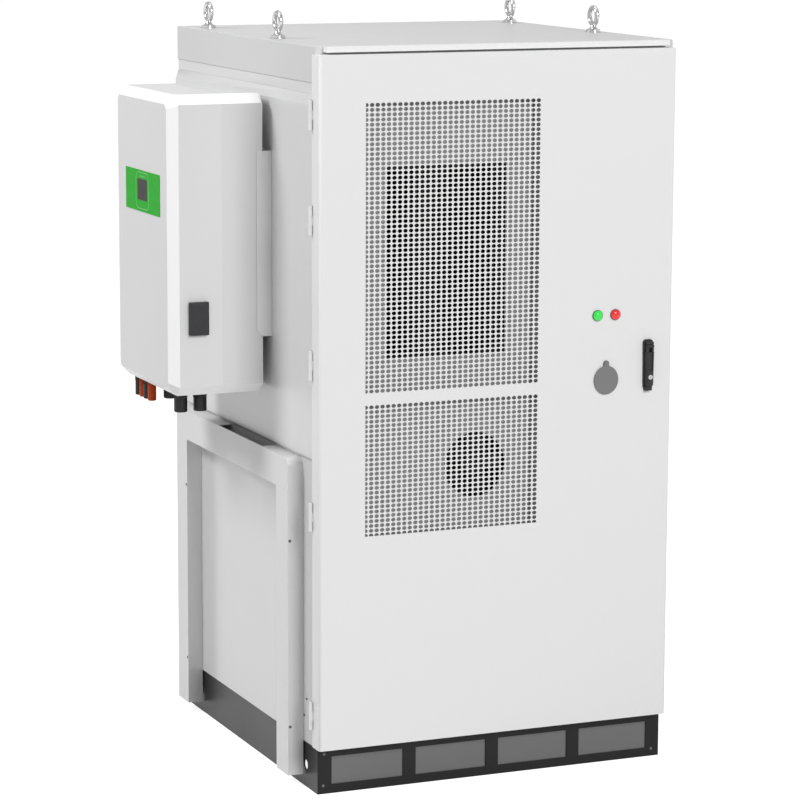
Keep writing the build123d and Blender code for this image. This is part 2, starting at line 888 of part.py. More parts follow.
def make_duct_beam():
    """Cross piece of the cable duct, open at its top for the inverter's cables."""
    beam = block(-duct_x, -lower_x, duct_front_y, duct_rear_y, duct_beam_low, duct_beam_high)
    nose = (-duct_x, duct_front_y, duct_beam_high)
    beam = fillet(beam.edges().filter_by(Axis.X).sort_by_distance(nose)[0], duct_corner)
    inner_front = duct_front_y + sheet
    inner_rear = duct_rear_y - sheet
    low = duct_beam_low + sheet
    high = duct_beam_high - sheet
    core = block(-duct_x + sheet, -lower_x + past, inner_front, inner_rear, low, high)
    core_edge = core.edges().filter_by(Axis.X).sort_by_distance(nose)[0]
    beam -= fillet(core_edge, duct_corner - sheet)
    slot_x = -duct_x + 2 * sheet
    wall = -lower_x + past
    slot_front = inverter_front_y - duct_slot_front
    slot_rear = inverter_rear_y - duct_slot_rear
    beam -= block(slot_x, wall, slot_front, slot_rear, high - past, duct_beam_high + past)
    for y0 in (duct_front_y, duct_rear_y - duct_post_width):
        front = y0 + 2 * sheet
        rear = y0 + duct_post_width - 2 * sheet
        beam -= block(slot_x, wall, front, rear, duct_beam_low - past, low + past)
    return beam


def make_duct_posts():
    """Front and rear drops of the cable duct."""
    posts = []
    low = duct_foot_lift - past
    high = duct_beam_low + past
    for y0 in (duct_front_y, duct_rear_y - duct_post_width):
        y1 = y0 + duct_post_width
        post = block(-duct_x, -lower_x, y0, y1, duct_foot_lift, duct_beam_low)
        posts.append(post - block(-duct_x + sheet, -lower_x + past, y0 + sheet, y1 - sheet, low, high))
    return group(posts)


def inverter_body(x0, x1, inset):
    """Inverter outline with bevelled long edges, drawn in by an inset on its four sides."""
    y0 = inverter_front_y + inset
    y1 = inverter_rear_y - inset
    body = block(x0, x1, y0, y1, inverter_low + inset, inverter_high - inset)
    return chamfer(body.edges().filter_by(Axis.X), inverter_bevel)


def make_inverter_case():
    """Rear case of the inverter, a tray that is open to its cover."""
    wall = inverter_wall
    case = inverter_body(inverter_seam_x, inverter_back_x, 0)
    case = fillet(case.faces().sort_by(Axis.X)[-1].edges(), inverter_back_round)
    hollow = inverter_body(inverter_seam_x - past, inverter_back_x - wall, wall)
    hollow = fillet(hollow.faces().sort_by(Axis.X)[-1].edges(), inverter_back_round - wall)
    return case - hollow


def make_inverter_cover():
    """Front cover of the inverter with wide bevels round its face."""
    wall = inverter_wall
    cover = inverter_body(inverter_face_x, inverter_seam_x, 0)
    cover = chamfer(cover.faces().sort_by(Axis.X)[0].edges(), inverter_bevel)
    core = inverter_body(inverter_face_x + wall, inverter_seam_x + past, wall)
    core = chamfer(core.faces().sort_by(Axis.X)[0].edges(), inverter_bevel)
    cover -= core
    top = inverter_low + wall + past
    for x, y in gland_places():
        cover -= bar_z(x, y, inverter_low - past, top, gland_radius * neck_share + touch_gap)
    for x, y in terminal_places(0) + terminal_places(1):
        cover -= bar_z(x, y, inverter_low - past, top, terminal_radius * neck_share + touch_gap)
    return cover


def make_wall_bracket():
    """Two wall rails and the two bevelled plates that close the sides."""
    rail_back = -panel_x
    solids = []
    y0 = inverter_front_y + tube_size
    y1 = inverter_rear_y - tube_size
    for z0 in (plate_low + plate_bevel, plate_high - tube_size):
        solids.append(tube_y(inverter_back_x, rail_back, y0, y1, z0, z0 + tube_size, tube_wall))
    lap_x = inverter_back_x - plate_lap
    points = [(rail_back, plate_low), (rail_back, plate_high), (lap_x, plate_high)]
    points += [(lap_x, plate_low + plate_bevel), (lap_x + plate_bevel, plate_low)]
    solids.append(prism_y(points, inverter_front_y - plate_thick, inverter_front_y))
    solids.append(prism_y(points, inverter_rear_y, inverter_rear_y + plate_thick))
    return group(solids)


def make_inverter_panel():
    """Coloured panel on the inverter's face, round the display."""
    x1 = inverter_face_x
    x0 = x1 - panel_thick
    panel = block(x0, x1, panel_front_y, panel_rear_y, panel_low, panel_high)
    return panel - block(x0 - past, x1 + past, display_front_y, display_rear_y, display_low, display_high)


def make_inverter_display():
    """Display glass in the window of the panel."""
    x0 = inverter_face_x - display_thick
    return block(x0, inverter_face_x, display_front_y, display_rear_y, display_low, display_high)


def make_switch_box():
    """Dark disconnect housing on the inverter's front end."""
    x0 = inverter_face_x + switch_setback
    y1 = inverter_front_y
    z0 = inverter_low + switch_lift
    housing = block(x0, x0 + switch_width, y1 - switch_reach, y1, z0, z0 + switch_height)
    return chamfer(housing.faces().sort_by(Axis.Y)[0].edges(), switch_edge)


def gland_places():
    """Places of the cable glands under the inverter's cover."""
    front = inverter_front_y + gland_front_inset
    rows = (front, front, inverter_rear_y - gland_rear_inset)
    return [(inverter_face_x + setback, y) for setback, y in zip(gland_setbacks, rows)]


def terminal_places(kind):
    """Places of the battery terminals under the cover, alternating by kind."""
    x = inverter_face_x + terminal_setback
    first = inverter_rear_y - terminal_inset
    return [(x, first + terminal_pitch * (2 * i + kind)) for i in range(2)]


def gland(x, y, radius, nut_radius, drop):
    """Screwed gland: neck through the case, hexagonal nut and straight body."""
    seat = inverter_low
    nut_low = seat - drop * nut_share
    neck = bar_z(x, y, nut_low, seat + 2 * inverter_wall, radius * neck_share)
    nut = Pos(x, y, nut_low) * extrude(RegularPolygon(nut_radius, 6), amount=seat - nut_low)
    body = bar_z(x, y, seat - drop, nut_low, radius)
    body = chamfer(body.edges().group_by(Axis.Z)[0], gland_edge)
    return neck + nut + body


def make_cable_glands():
    """Three large cable glands."""
    return group([gland(x, y, gland_radius, gland_nut, gland_drop) for x, y in gland_places()])


def make_terminals(kind):
    """Pair of battery terminals, orange for kind 0 and black for kind 1."""
    places = terminal_places(kind)
    return group([gland(x, y, terminal_radius, terminal_nut, terminal_drop) for x, y in places])


def door_hole(x, z, radius):
    """Cutter for a round hole through the door's front sheet."""
    return bar_y(x, door_front_y - past, skin_y + past, z, radius)


def make_door_skin():
    """Folded door tray with returns at its back and two grille windows."""
    skin = block(door_left, door_right, door_front_y, door_back_y, door_low, door_high)
    skin = fillet(skin.edges().filter_by(Axis.Z).group_by(Axis.Y)[0], door_corner)
    left = door_left + sheet
    right = door_right - sheet
    core = block(left, right, skin_y, door_back_y - sheet, door_low + sheet, door_high - sheet)
    skin -= fillet(core.edges().filter_by(Axis.Z).group_by(Axis.Y)[0], door_corner - sheet)
    left = door_left + door_return
    right = door_right - door_return
    low = door_low + door_return
    skin -= block(left, right, skin_y, door_back_y + past, low, door_high - door_return)
    for low, high in ((upper_grille_low, upper_grille_high), (lower_grille_low, lower_grille_high)):
        skin -= block(grille_left, grille_right, door_front_y - past, skin_y + past, low, high)
    skin -= door_hole(handle_x, handle_z, shaft_radius + loose_gap)
    skin -= door_hole(port_x, port_z, port_neck_radius + touch_gap)
    for x in (green_x, red_x):
        skin -= door_hole(x, lamp_z, bezel_body_radius + touch_gap)
    return skin


def make_door_frame():
    """Tubes inside the door that carry the cooler and the lock."""
    y0 = skin_y
    y1 = door_back_y - sheet
    low = door_low + sheet
    high = door_high - sheet
    bars = [tube_z(grille_left - stiffener_width, grille_left, y0, y1, low, high, tube_wall)]
    bars.append(tube_z(grille_right, grille_right + stiffener_width, y0, y1, low, high, tube_wall))
    stile = tube_z(stile_left, stile_right, y0, y1, low, high, tube_wall)
    bars.append(stile - bar_y(handle_x, y0 - past, y1 + past, handle_z, shaft_radius + loose_gap))
    for z0 in (lower_grille_low - stiffener_width, upper_grille_high):
        bars.append(tube_x(grille_left, grille_right, y0, y1, z0, z0 + stiffener_width, tube_wall))
    return group(bars)


def make_grille(low, high):
    """Perforated plate that fills a door window."""
    plate = block(grille_left, grille_right, door_front_y, door_front_y + grille_plate, low, high)
    across = int((grille_right - grille_left - grille_hole) / grille_pitch_x)
    up = int((high - low - grille_hole) / grille_pitch_z)
    centre_z = (low + high) / 2
    hole = Box(grille_hole, 4 * grille_plate, grille_hole)
    spots = [spot.position for spot in GridLocations(grille_pitch_x, grille_pitch_z, across, up)]
    return plate - [Pos(grille_x + p.X, door_front_y, centre_z + p.Y) * hole for p in spots]


def make_cooler_housing():
    """Housing of the door's air conditioner: outer air in front and below, cabinet air behind."""
    y0 = door_back_y - sheet
    y1 = cooler_back_y
    wall = cooler_wall
    rim = cooler_flange
    low = lower_grille_low
    high = upper_grille_high
    left = grille_left + wall
    right = grille_right - wall
    shell = block(grille_left, grille_right, y0, y1, low, high)
    shell += block(grille_left - rim, grille_right + rim, y0, y0 + wall, low - rim, high + rim)
    shell -= block(left, right, y0 + wall, y1 - wall, low + wall, divider_z)
    shell -= block(left, right, y0 + wall, partition_y, divider_z - past, high - wall)
    shell -= block(left, right, partition_y + wall, y1 - wall, divider_z + wall, high - wall)
    shell -= block(coil_left, coil_right, y0 - past, y0 + wall + past, coil_low, coil_high)
    shell -= bar_y(fan_x, y0 - past, y0 + wall + past, fan_z, fan_opening / 2)
    shell -= bar_y(grille_x, y1 - wall - past, y1 + past, blower_z, blower_inlet_radius)
    low = divider_z + rim
    left = grille_left + supply_side
    right = grille_right - supply_side
    shell -= block(left, right, y1 - wall - past, y1 + past, low, low + supply_height)
    return group([shell, make_fan_motor(), make_blower_motor()])


def make_fan_motor():
    """Motor of the condenser fan on a strap across the back of its opening."""
    plate_y = door_back_y - sheet + cooler_wall
    fan_back = door_back_y + 2 * cooler_wall + fan_depth
    strap_front = fan_back + motor_gap
    strap_back = strap_front + strap_thick
    half = strap_width / 2
    reach = fan_opening / 2 + strap_width
    motor = block(fan_x - half, fan_x + half, strap_front, strap_back, fan_z - reach, fan_z + reach)
    for side in (-1, 1):
        end = fan_z + side * reach
        motor += block(fan_x - half, fan_x + half, plate_y, strap_back, end, end - side * strap_thick)
    motor += bar_y(fan_x, strap_back, strap_back + motor_length, fan_z, motor_radius)
    return motor + bar_y(fan_x, fan_back - shaft_grip, strap_back, fan_z, shaft_radius)


def make_blower_motor():
    """Motor of the circulation fan on a strap between the housing's side walls."""
    wheel_front = cooler_back_y - 3 * cooler_wall - blower_depth
    strap_back = wheel_front - motor_gap
    strap_front = strap_back - strap_thick
    half = strap_width / 2
    left = grille_left + cooler_wall
    right = grille_right - cooler_wall
    motor = block(left, right, strap_front, strap_back, blower_z - half, blower_z + half)
    motor += bar_y(grille_x, strap_front - motor_length, strap_front, blower_z, motor_radius)
    return motor + bar_y(grille_x, strap_back, wheel_front + shaft_grip, blower_z, shaft_radius)


def finned_coil(x0, x1, y0, z0, z1):
    """Coil block cut into upright fins between its two headers."""
    coil = block(x0, x1, y0, y0 + coil_depth, z0, z1)
    count = int((x1 - x0 - coil_header) / coil_pitch)
    middle = Pos((x0 + x1) / 2, y0 + coil_depth / 2, (z0 + z1) / 2)
    slot = Box(coil_pitch - coil_fin, 2 * coil_depth, z1 - z0 - 2 * coil_header)
    first = -(count - 1) / 2 * coil_pitch
    return coil - [middle * Pos(first + coil_pitch * i, 0, 0) * slot for i in range(count)]


def make_cooler_coils():
    """Outer coil behind the grille and inner coil in front of the circulation fan."""
    lap = coil_header / 2
    outer = finned_coil(coil_left - lap, coil_right + lap, door_back_y, coil_low - lap, coil_high + lap)
    inner_y = door_back_y + coil_depth + coil_spacing
    inner_top = blower_z - blower_radius - coil_spacing
    left = grille_left + cooler_wall
    right = grille_right - cooler_wall
    return group([outer, finned_coil(left, right, inner_y, coil_low, inner_top)])


def make_compressor():
    """Upright compressor with a domed top, on the housing's floor."""
    x = grille_left + cooler_wall + compressor_side + compressor_radius
    y = cooler_back_y - cooler_wall - compressor_back - compressor_radius
    z0 = lower_grille_low + cooler_wall
    drum = bar_z(x, y, z0, z0 + compressor_height, compressor_radius)
    return fillet(drum.edges().filter_by(GeomType.CIRCLE).group_by(Axis.Z)[-1], compressor_dome)


def fan_blade(tip_radius):
    """One twisted blade that runs outward along X."""
    start = fan_hub_radius - blade_thick
    root = Plane(origin=(start, 0, 0), x_dir=(0, 1, 0), z_dir=(1, 0, 0))
    tip = Plane(origin=(tip_radius, 0, 0), x_dir=(0, 1, 0), z_dir=(1, 0, 0))
    root_face = root * Rot(0, 0, blade_root_angle) * Rectangle(blade_thick, blade_root_chord)
    tip_face = tip * Rot(0, 0, blade_tip_angle) * Rectangle(blade_thick, blade_tip_chord)
    return loft([root_face.face(), tip_face.face()])


def make_condenser_fan():
    """Axial fan in the round opening: cup hub and twisted blades."""
    y0 = door_back_y + 2 * cooler_wall
    y1 = y0 + fan_depth
    hub = bar_y(fan_x, y0, y1, fan_z, fan_hub_radius)
    middle = Pos(fan_x, (y0 + y1) / 2, fan_z) * Rot(90, 0, 0)
    blade = fan_blade(fan_opening / 2 - fan_tip_gap)
    for i in range(fan_blades):
        hub += middle * Rot(0, 0, 360 / fan_blades * i) * blade
    return hub - bar_y(fan_x, (y0 + y1) / 2, y1 + past, fan_z, shaft_radius + run_gap)


def blower_blade_outline():
    """Curved blade of the circulation fan, seen along its axis."""
    outer = blower_radius - past
    bow = ((blower_root_radius + outer) / 2, blower_bow)
    tip = (outer * blower_tip_share, outer * blower_sweep_share)
    curve = ThreePointArc((blower_root_radius, 0), bow, tip)
    return make_face(offset(curve, blower_blade / 2, side=Side.BOTH).wire())


def make_circulation_fan():
    """Radial fan wheel: front disc, curved blades and inlet ring."""
    back = cooler_back_y - 3 * cooler_wall
    front = back - blower_depth
    ring = bar_y(grille_x, back - blower_disc, back, blower_z, blower_radius)
    ring -= bar_y(grille_x, back - blower_disc - past, back + past, blower_z, blower_inlet_radius)
    wheel = bar_y(grille_x, front, front + blower_disc, blower_z, blower_radius)
    wheel += bar_y(grille_x, front, front + blower_depth / 2, blower_z, blower_hub_radius)
    blade = extrude(blower_blade_outline(), amount=blower_depth - blower_disc / 2)
    place = Pos(grille_x, back - blower_disc / 4, blower_z) * Rot(90, 0, 0)
    for i in range(blower_blades):
        wheel += place * Rot(0, 0, 360 / blower_blades * i) * blade
    wheel += ring
    depth = blower_depth / 3
    return wheel - bar_y(grille_x, front - past, front + depth, blower_z, shaft_radius + run_gap)


def make_lamp_bezels():
    """Dark cups that hold the two lamp lenses."""
    cups = []
    front = door_front_y - bezel_reach
    floor_y = door_front_y - bezel_floor
    for x in (green_x, red_x):
        cup = bar_y(x, front, door_front_y, lamp_z, bezel_radius)
        cup -= bar_y(x, front - past, floor_y, lamp_z, lens_radius + touch_gap)
        cups.append(cup + bar_y(x, door_front_y, door_front_y + bezel_body, lamp_z, bezel_body_radius))
    return group(cups)


def make_lens(x):
    """Domed lamp lens."""
    dome = lens_reach - lens_rim
    sphere_radius = (lens_radius ** 2 + dome ** 2) / (2 * dome)
    base_y = door_front_y - lens_rim
    body = bar_y(x, base_y, door_front_y - bezel_floor, lamp_z, lens_radius)
    ball = Pos(x, base_y - dome + sphere_radius, lamp_z) * Sphere(sphere_radius)
    return body + (ball & bar_y(x, base_y - dome - past, base_y, lamp_z, lens_radius))


def make_port_collar():
    """Collar of the service port, with the boss and rivet that carry its cover."""
    back = skin_y + port_neck
    top_z = port_z + port_pivot_lift
    collar = bar_y(port_x, port_front_y, door_front_y, port_z, port_flange_radius)
    collar += bar_y(port_x, door_front_y, back, port_z, port_neck_radius)
    half = port_rivet_radius
    low = port_z + port_neck_radius
    collar += block(port_x - half, port_x + half, port_front_y, door_front_y, low, top_z)
    collar -= bar_y(port_x, port_front_y - past, back + past, port_z, port_hole_radius)
    collar += bar_y(port_x, port_front_y, door_front_y, top_z, port_tab_radius)
    rivet_y = port_front_y - port_cover_thick - 2 * touch_gap
    collar += bar_y(port_x, rivet_y, port_front_y, top_z, port_rivet_radius)
    return collar + bar_y(port_x, rivet_y - port_head, rivet_y, top_z, port_head_radius)


def make_port_cover():
    """Flat oval cover with a tab, hanging from its rivet over the port."""
    back = port_front_y - touch_gap
    front = back - port_cover_thick
    top_z = port_z + port_pivot_lift
    oval = extrude(Ellipse(port_cover_half_x, port_cover_half_z), amount=port_cover_thick)
    cover = Pos(port_x, back, port_z) * Rot(90, 0, 0) * oval
    half = port_tab_radius
    cover += block(port_x - half, port_x + half, front, back, port_z, top_z)
    cover += bar_y(port_x, front, back, top_z, half)
    return cover - bar_y(port_x, front - past, back + past, top_z, port_rivet_radius + run_gap)


def outward(reach):
    """Y place at a distance in front of the door's face."""
    return door_front_y - reach


def make_handle_base():
    """Tapered base plate with the hub's boss and the rest for the lever's end."""
    half = handle_width / 2
    foot_half = handle_foot_width / 2
    top = handle_z + handle_rise
    foot = handle_z - handle_drop
    points = [(handle_x - half, top), (handle_x + half, top)]
    points += [(handle_x + foot_half, foot), (handle_x - foot_half, foot)]
    plate = prism_y(points, outward(base_thick), door_front_y)
    plate = fillet(plate.edges().filter_by(Axis.Y).group_by(Axis.Z)[-1], handle_corner)
    plate = fillet(plate.edges().filter_by(Axis.Y).group_by(Axis.Z)[0], foot_corner)
    boss_outer = outward(base_thick + boss_height)
    plate += bar_y(handle_x, boss_outer, outward(base_thick), handle_z, half)
    plate -= bar_y(handle_x, boss_outer - past, outward(base_thick), handle_z, hub_disc_radius + touch_gap)
    rest_top = handle_z - lever_length - loose_gap
    rest = rest_width / 2
    low = handle_z - rest_drop
    plate += block(handle_x - rest, handle_x + rest, outward(rest_reach), door_front_y, low, rest_top)
    bore = shaft_radius + run_gap
    return plate - bar_y(handle_x, outward(base_thick) - past, door_front_y + past, handle_z, bore)


def involute_point(base_radius, radius, start):
    """Point of an involute at a given radius, turned by start."""
    angle = math.sqrt((radius / base_radius) ** 2 - 1)
    spread = angle - math.atan(angle)
    return radius * math.cos(start + spread), radius * math.sin(start + spread)


def mirrored_point(point, angle):
    """Point mirrored in the line through the origin at an angle."""
    c = math.cos(2 * angle)
    s = math.sin(2 * angle)
    return point[0] * c + point[1] * s, point[0] * s - point[1] * c


def pinion_outline():
    """Closed outline of the pinion, one involute tooth after another."""
    pressure = math.radians(pressure_angle)
    base_radius = pitch_radius * math.cos(pressure)
    tip_radius = pitch_radius + gear_module
    root_radius = pitch_radius - tooth_root * gear_module
    flank_angle = math.tan(pressure) - pressure
    half_tooth = math.pi / (2 * gear_teeth) - gear_backlash / (4 * pitch_radius)
    radii = [base_radius + (tip_radius - base_radius) * i / 3 for i in range(4)]
    points = []
    for tooth in range(gear_teeth):
        centre = 2 * math.pi * tooth / gear_teeth
        start = centre - half_tooth - flank_angle
        rising = [(root_radius * math.cos(start), root_radius * math.sin(start))]
        rising += [involute_point(base_radius, r, start) for r in radii]
        points += rising + [mirrored_point(p, centre) for p in reversed(rising)]
    return points


def make_handle_hub():
    """Turning hub: lug and head cap, disc, shaft and lock pinion in one piece."""
    disc_back = base_thick + touch_gap
    disc_front = disc_back + hub_disc_thick
    hub = bar_y(handle_x, outward(disc_front), outward(disc_back), handle_z, hub_disc_radius)
    x0 = handle_x - lug_width / 2
    x1 = handle_x + lug_width / 2
    pivot = outward(lever_pivot_reach)
    lug_back = outward(disc_front - past)
    hub += block(x0, x1, pivot, lug_back, handle_z - ear_radius, handle_z + ear_radius)
    hub += bar_x(x0, x1, pivot, handle_z, ear_radius)
    hub -= bar_x(x0 - past, x1 + past, pivot, handle_z, lever_pin_radius + run_gap)
    cap = block(handle_x - cap_half, handle_x + cap_half, outward(cap_reach), outward(disc_front),
                handle_z + cap_low, handle_z + cap_high)
    hub += fillet(cap.edges().filter_by(Axis.Y).group_by(Axis.Z)[-1], cap_corner)
    hub += bar_y(handle_x, outward(disc_back), rod_back_y + 2 * case_wall, handle_z, shaft_radius)
    points = [(handle_x + x, rod_front_y, handle_z + z) for x, z in pinion_outline()]
    return hub + extrude(make_face(Polyline(points, close=True)), amount=gear_width, dir=(0, 1, 0))


def lever_grip(front, back, grip_top):
    """Tapered grip with rounded foot, bevelled front and a shallow pocket."""
    half = lever_width / 2
    tip = lever_tip_width / 2
    foot = handle_z - lever_length
    points = [(handle_x - half, grip_top), (handle_x + half, grip_top)]
    points += [(handle_x + tip, foot), (handle_x - tip, foot)]
    grip = prism_y(points, front, back)
    grip = fillet(grip.edges().filter_by(Axis.Y).group_by(Axis.Z)[0], lever_corner)
    grip = chamfer(grip.faces().sort_by(Axis.Y)[0].edges(), lever_edge)
    low = handle_z - pocket_drop
    pocket_back = front + pocket_depth
    return grip - block(handle_x - pocket_half, handle_x + pocket_half, front - past, pocket_back,
                        low, grip_top + past)


def make_handle_lever():
    """Lever that lifts off the base: forked ears, tapered grip and its cross pin."""
    front = outward(lever_back + lever_thick)
    back = outward(lever_back)
    pivot = outward(lever_pivot_reach)
    grip_top = handle_z - handle_width / 2 - 2 * loose_gap
    lever = lever_grip(front, back, grip_top)
    outer = lever_width / 2 - ear_step
    ear_back = outward(lever_pivot_reach - ear_radius)
    for side in (-1, 1):
        x0 = handle_x + side * (lug_width / 2 + touch_gap)
        x1 = handle_x + side * outer
        lever += bar_x(x0, x1, pivot, handle_z, ear_radius)
        lever += block(x0, x1, front + lever_edge, ear_back, grip_top - 2 * past, handle_z)
    lever -= bar_x(handle_x - outer - past, handle_x + outer + past, pivot, handle_z, lever_pin_radius)
    lever -= bar_y(handle_x, front - past, back + past, handle_z - key_drop, key_radius + run_gap)
    return group([lever, bar_x(handle_x - outer, handle_x + outer, pivot, handle_z, lever_pin_radius)])


def make_key_cylinder():
    """Key cylinder in the lever, with its slot."""
    front = outward(lever_back + lever_thick + key_stand)
    back = outward(lever_back)
    key_z = handle_z - key_drop
    barrel = bar_y(handle_x, front, back, key_z, key_radius)
    low = key_z - key_slot_height / 2
    slot_back = front + key_slot_depth
    return barrel - block(handle_x - key_slot_half, handle_x + key_slot_half, front - past, slot_back,
                          low, low + key_slot_height)


def make_lock_case():
    """Case on the door's stile that bears the pinion and lets both rods pass."""
    wall = case_wall
    x0 = upper_rod_x - rod_width / 2 - loose_gap - wall
    x1 = lower_rod_x + rod_width / 2 + loose_gap + wall
    y0 = door_back_y - sheet
    y1 = rod_back_y + loose_gap + wall
    half = pitch_radius + 3 * gear_module + wall
    z0 = handle_z - half
    z1 = handle_z + half
    case = block(x0, x1, y0, y1, z0, z1)
    case -= block(x0 + wall, x1 - wall, y0 + wall, y1 - wall, z0 - past, z1 + past)
    return case - bar_y(handle_x, y0 - past, y1 + past, handle_z, shaft_radius + run_gap)


def rack_tooth(root_x, z, toward):
    """One straight sided rack tooth that points along X."""
    slope = math.tan(math.radians(pressure_angle))
    half_pitch = math.pi * gear_module / 4 - gear_backlash / 2
    below = tooth_root * gear_module
    foot = half_pitch + slope * below
    tip = half_pitch - slope * rack_addendum
    tip_x = root_x + toward * (below + rack_addendum)
    back_x = root_x - toward * past
    points = [(back_x, z - foot), (root_x, z - foot), (tip_x, z - tip)]
    points += [(tip_x, z + tip), (root_x, z + foot), (back_x, z + foot)]
    return prism_y(points, rod_front_y, rod_back_y)


def make_lock_rod(x, end_z, toward):
    """Flat lock rod whose rack meshes with the pinion; end_z is its tip."""
    pitch = math.pi * gear_module
    upward = 1 if end_z > handle_z else -1
    reach = (rack_teeth / 2 + 3) * pitch + gear_module
    half = rod_width / 2
    rod = block(x - half, x + half, rod_front_y, rod_back_y, handle_z - upward * reach, end_z)
    tip_edges = rod.edges().filter_by(Axis.Y).sort_by(Axis.Z)
    tip_edges = tip_edges[-2:] if upward > 0 else tip_edges[:2]
    rod = chamfer(tip_edges, rod_tip_edge)
    root_x = x + toward * half
    first = -(rack_teeth - 1) / 2 - 2 * upward
    for i in range(rack_teeth):
        rod += rack_tooth(root_x, handle_z + (math.floor(first + i) + 0.5) * pitch, toward)
    return rod


def rod_guide(x, z):
    """Block with a slot that a lock rod slides through."""
    half = rod_width / 2 + touch_gap
    outer = half + guide_wall
    top = z + guide_height
    y1 = rod_back_y + touch_gap + guide_wall
    shape = block(x - outer, x + outer, door_back_y - sheet, y1, z, top)
    front = rod_front_y - touch_gap
    return shape - block(x - half, x + half, front, rod_back_y + touch_gap, z - past, top + past)


def make_rod_guides():
    """Guides for both rods, two above and two below the lock case."""
    upper_span = upper_tip_z - handle_z
    lower_span = handle_z - lower_tip_z
    places = [(upper_rod_x, handle_z + upper_span * share) for share in guide_shares]
    places += [(lower_rod_x, handle_z - lower_span * share) for share in guide_shares]
    return group([rod_guide(x, z) for x, z in places])


def all_nodes():
    """Every node's name with the shape that it holds."""
    nodes = {
        "plinth_frame": make_plinth_frame(),
        "plinth_windows": make_plinth_windows(),
        "floor_plate": make_floor_plate(),
        "corner_posts": make_corner_posts(),
        "frame_rails": make_frame_rails(),
        "front_trim": make_front_trim(),
        "side_panels": make_side_panels(),
        "rear_panel": make_rear_panel(),
        "wall_sheets": make_wall_sheets(),
        "roof": make_roof(),
        "rain_lip": make_rain_lip(),
        "lifting_rails": make_lifting_rails(),
        "lifting_eyes": make_lifting_eyes(),
        "door_seal": make_door_seal(),
        "hinge_brackets": make_hinge_brackets(),
        "hinge_pins": make_hinge_pins(),
        "lock_keepers": make_lock_keepers(),
        "battery_rack": make_battery_rack(),
        "module_links": make_module_links(),
        "high_voltage_box": make_high_voltage_box(),
        "disconnect_knob": make_disconnect_knob(),
        "duct_beam": make_duct_beam(),
        "duct_posts": make_duct_posts(),
        "inverter_case": make_inverter_case(),
        "inverter_cover": make_inverter_cover(),
        "wall_bracket": make_wall_bracket(),
        "inverter_panel": make_inverter_panel(),
        "inverter_display": make_inverter_display(),
        "switch_box": make_switch_box(),
        "cable_glands": make_cable_glands(),
        "orange_terminals": make_terminals(0),
        "black_terminals": make_terminals(1),
        "door_skin": make_door_skin(),
        "door_frame": make_door_frame(),
        "upper_grille": make_grille(upper_grille_low, upper_grille_high),
        "lower_grille": make_grille(lower_grille_low, lower_grille_high),
        "hinge_knuckles": make_hinge_knuckles(),
        "cooler_housing": make_cooler_housing(),
        "cooler_coils": make_cooler_coils(),
        "compressor": make_compressor(),
        "condenser_fan": make_condenser_fan(),
        "circulation_fan": make_circulation_fan(),
        "lamp_bezels": make_lamp_bezels(),
        "green_lens": make_lens(green_x),
        "red_lens": make_lens(red_x),
        "port_collar": make_port_collar(),
        "port_cover": make_port_cover(),
        "handle_base": make_handle_base(),
        "handle_hub": make_handle_hub(),
        "handle_lever": make_handle_lever(),
        "key_cylinder": make_key_cylinder(),
        "lock_case": make_lock_case(),
        "upper_lock_rod": make_lock_rod(upper_rod_x, upper_tip_z, 1),
        "lower_lock_rod": make_lock_rod(lower_rod_x, lower_tip_z, -1),
        "rod_guides": make_rod_guides(),
    }
    for i in range(module_count):
        nodes[f"battery_module_{i + 1}"] = make_battery_module(i)
    return nodes


os.makedirs("parts", exist_ok=True)
for name, shape in all_nodes().items():
    export_step(shape, f"parts/{name}.step")
    print(name, round(shape.volume / 1000), "cm3")
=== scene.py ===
"""Battery energy storage cabinet: finishes, small fittings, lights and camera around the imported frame."""

import logging
import math
from dataclasses import dataclass, field
from enum import Enum
from typing import Iterable, Sequence

import bmesh
import bpy
from mathutils import Matrix, Vector


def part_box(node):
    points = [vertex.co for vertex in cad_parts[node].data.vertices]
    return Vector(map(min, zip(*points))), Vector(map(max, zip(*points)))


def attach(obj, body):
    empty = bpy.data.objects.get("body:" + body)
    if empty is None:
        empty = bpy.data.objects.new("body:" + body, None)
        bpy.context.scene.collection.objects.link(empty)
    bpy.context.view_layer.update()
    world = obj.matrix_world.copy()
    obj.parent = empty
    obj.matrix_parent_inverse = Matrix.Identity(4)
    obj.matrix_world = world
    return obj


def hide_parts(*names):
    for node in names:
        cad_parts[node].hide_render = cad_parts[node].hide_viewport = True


LOG = logging.getLogger("cabinet")
MM = 0.001
FLOAT = "NodeSocketFloat"

# Most of a noise lies between these values
NOISE_LOW = 0.25
NOISE_HIGH = 0.75
# Share of a bump node's own strength that every finish uses
BUMP_STRENGTH = 0.6
# Edges of the CAD nodes: points closer than this are joined, and steeper edges than this are softened
WELD_GAP = 0.00001
SOFT_ANGLE = math.radians(40)
SOFT_STEPS = 2
# Modelled pieces are shaded smooth over gentler edges than this
SMOOTH_ANGLE = math.radians(35)
# Turned outlines from foot to crown: shares of the radius and of the height
PAN_HEAD = ((1.25, 0.0), (1.25, 0.15), (1.0, 0.2), (0.97, 0.6), (0.8, 0.9), (0.55, 1.0))
LIGHT_DOME = ((1.0, 0.0), (1.0, 1.0), (0.7, 1.5), (0.3, 1.7))

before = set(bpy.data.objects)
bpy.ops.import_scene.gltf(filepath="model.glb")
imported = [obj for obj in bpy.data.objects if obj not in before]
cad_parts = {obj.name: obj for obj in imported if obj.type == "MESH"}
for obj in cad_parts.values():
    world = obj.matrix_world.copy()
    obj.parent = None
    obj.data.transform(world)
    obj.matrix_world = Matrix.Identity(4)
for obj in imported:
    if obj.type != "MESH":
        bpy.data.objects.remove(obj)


class Side(Enum):
    """Direction that a flat fitting faces."""

    FRONT = "front"
    LEFT = "left"


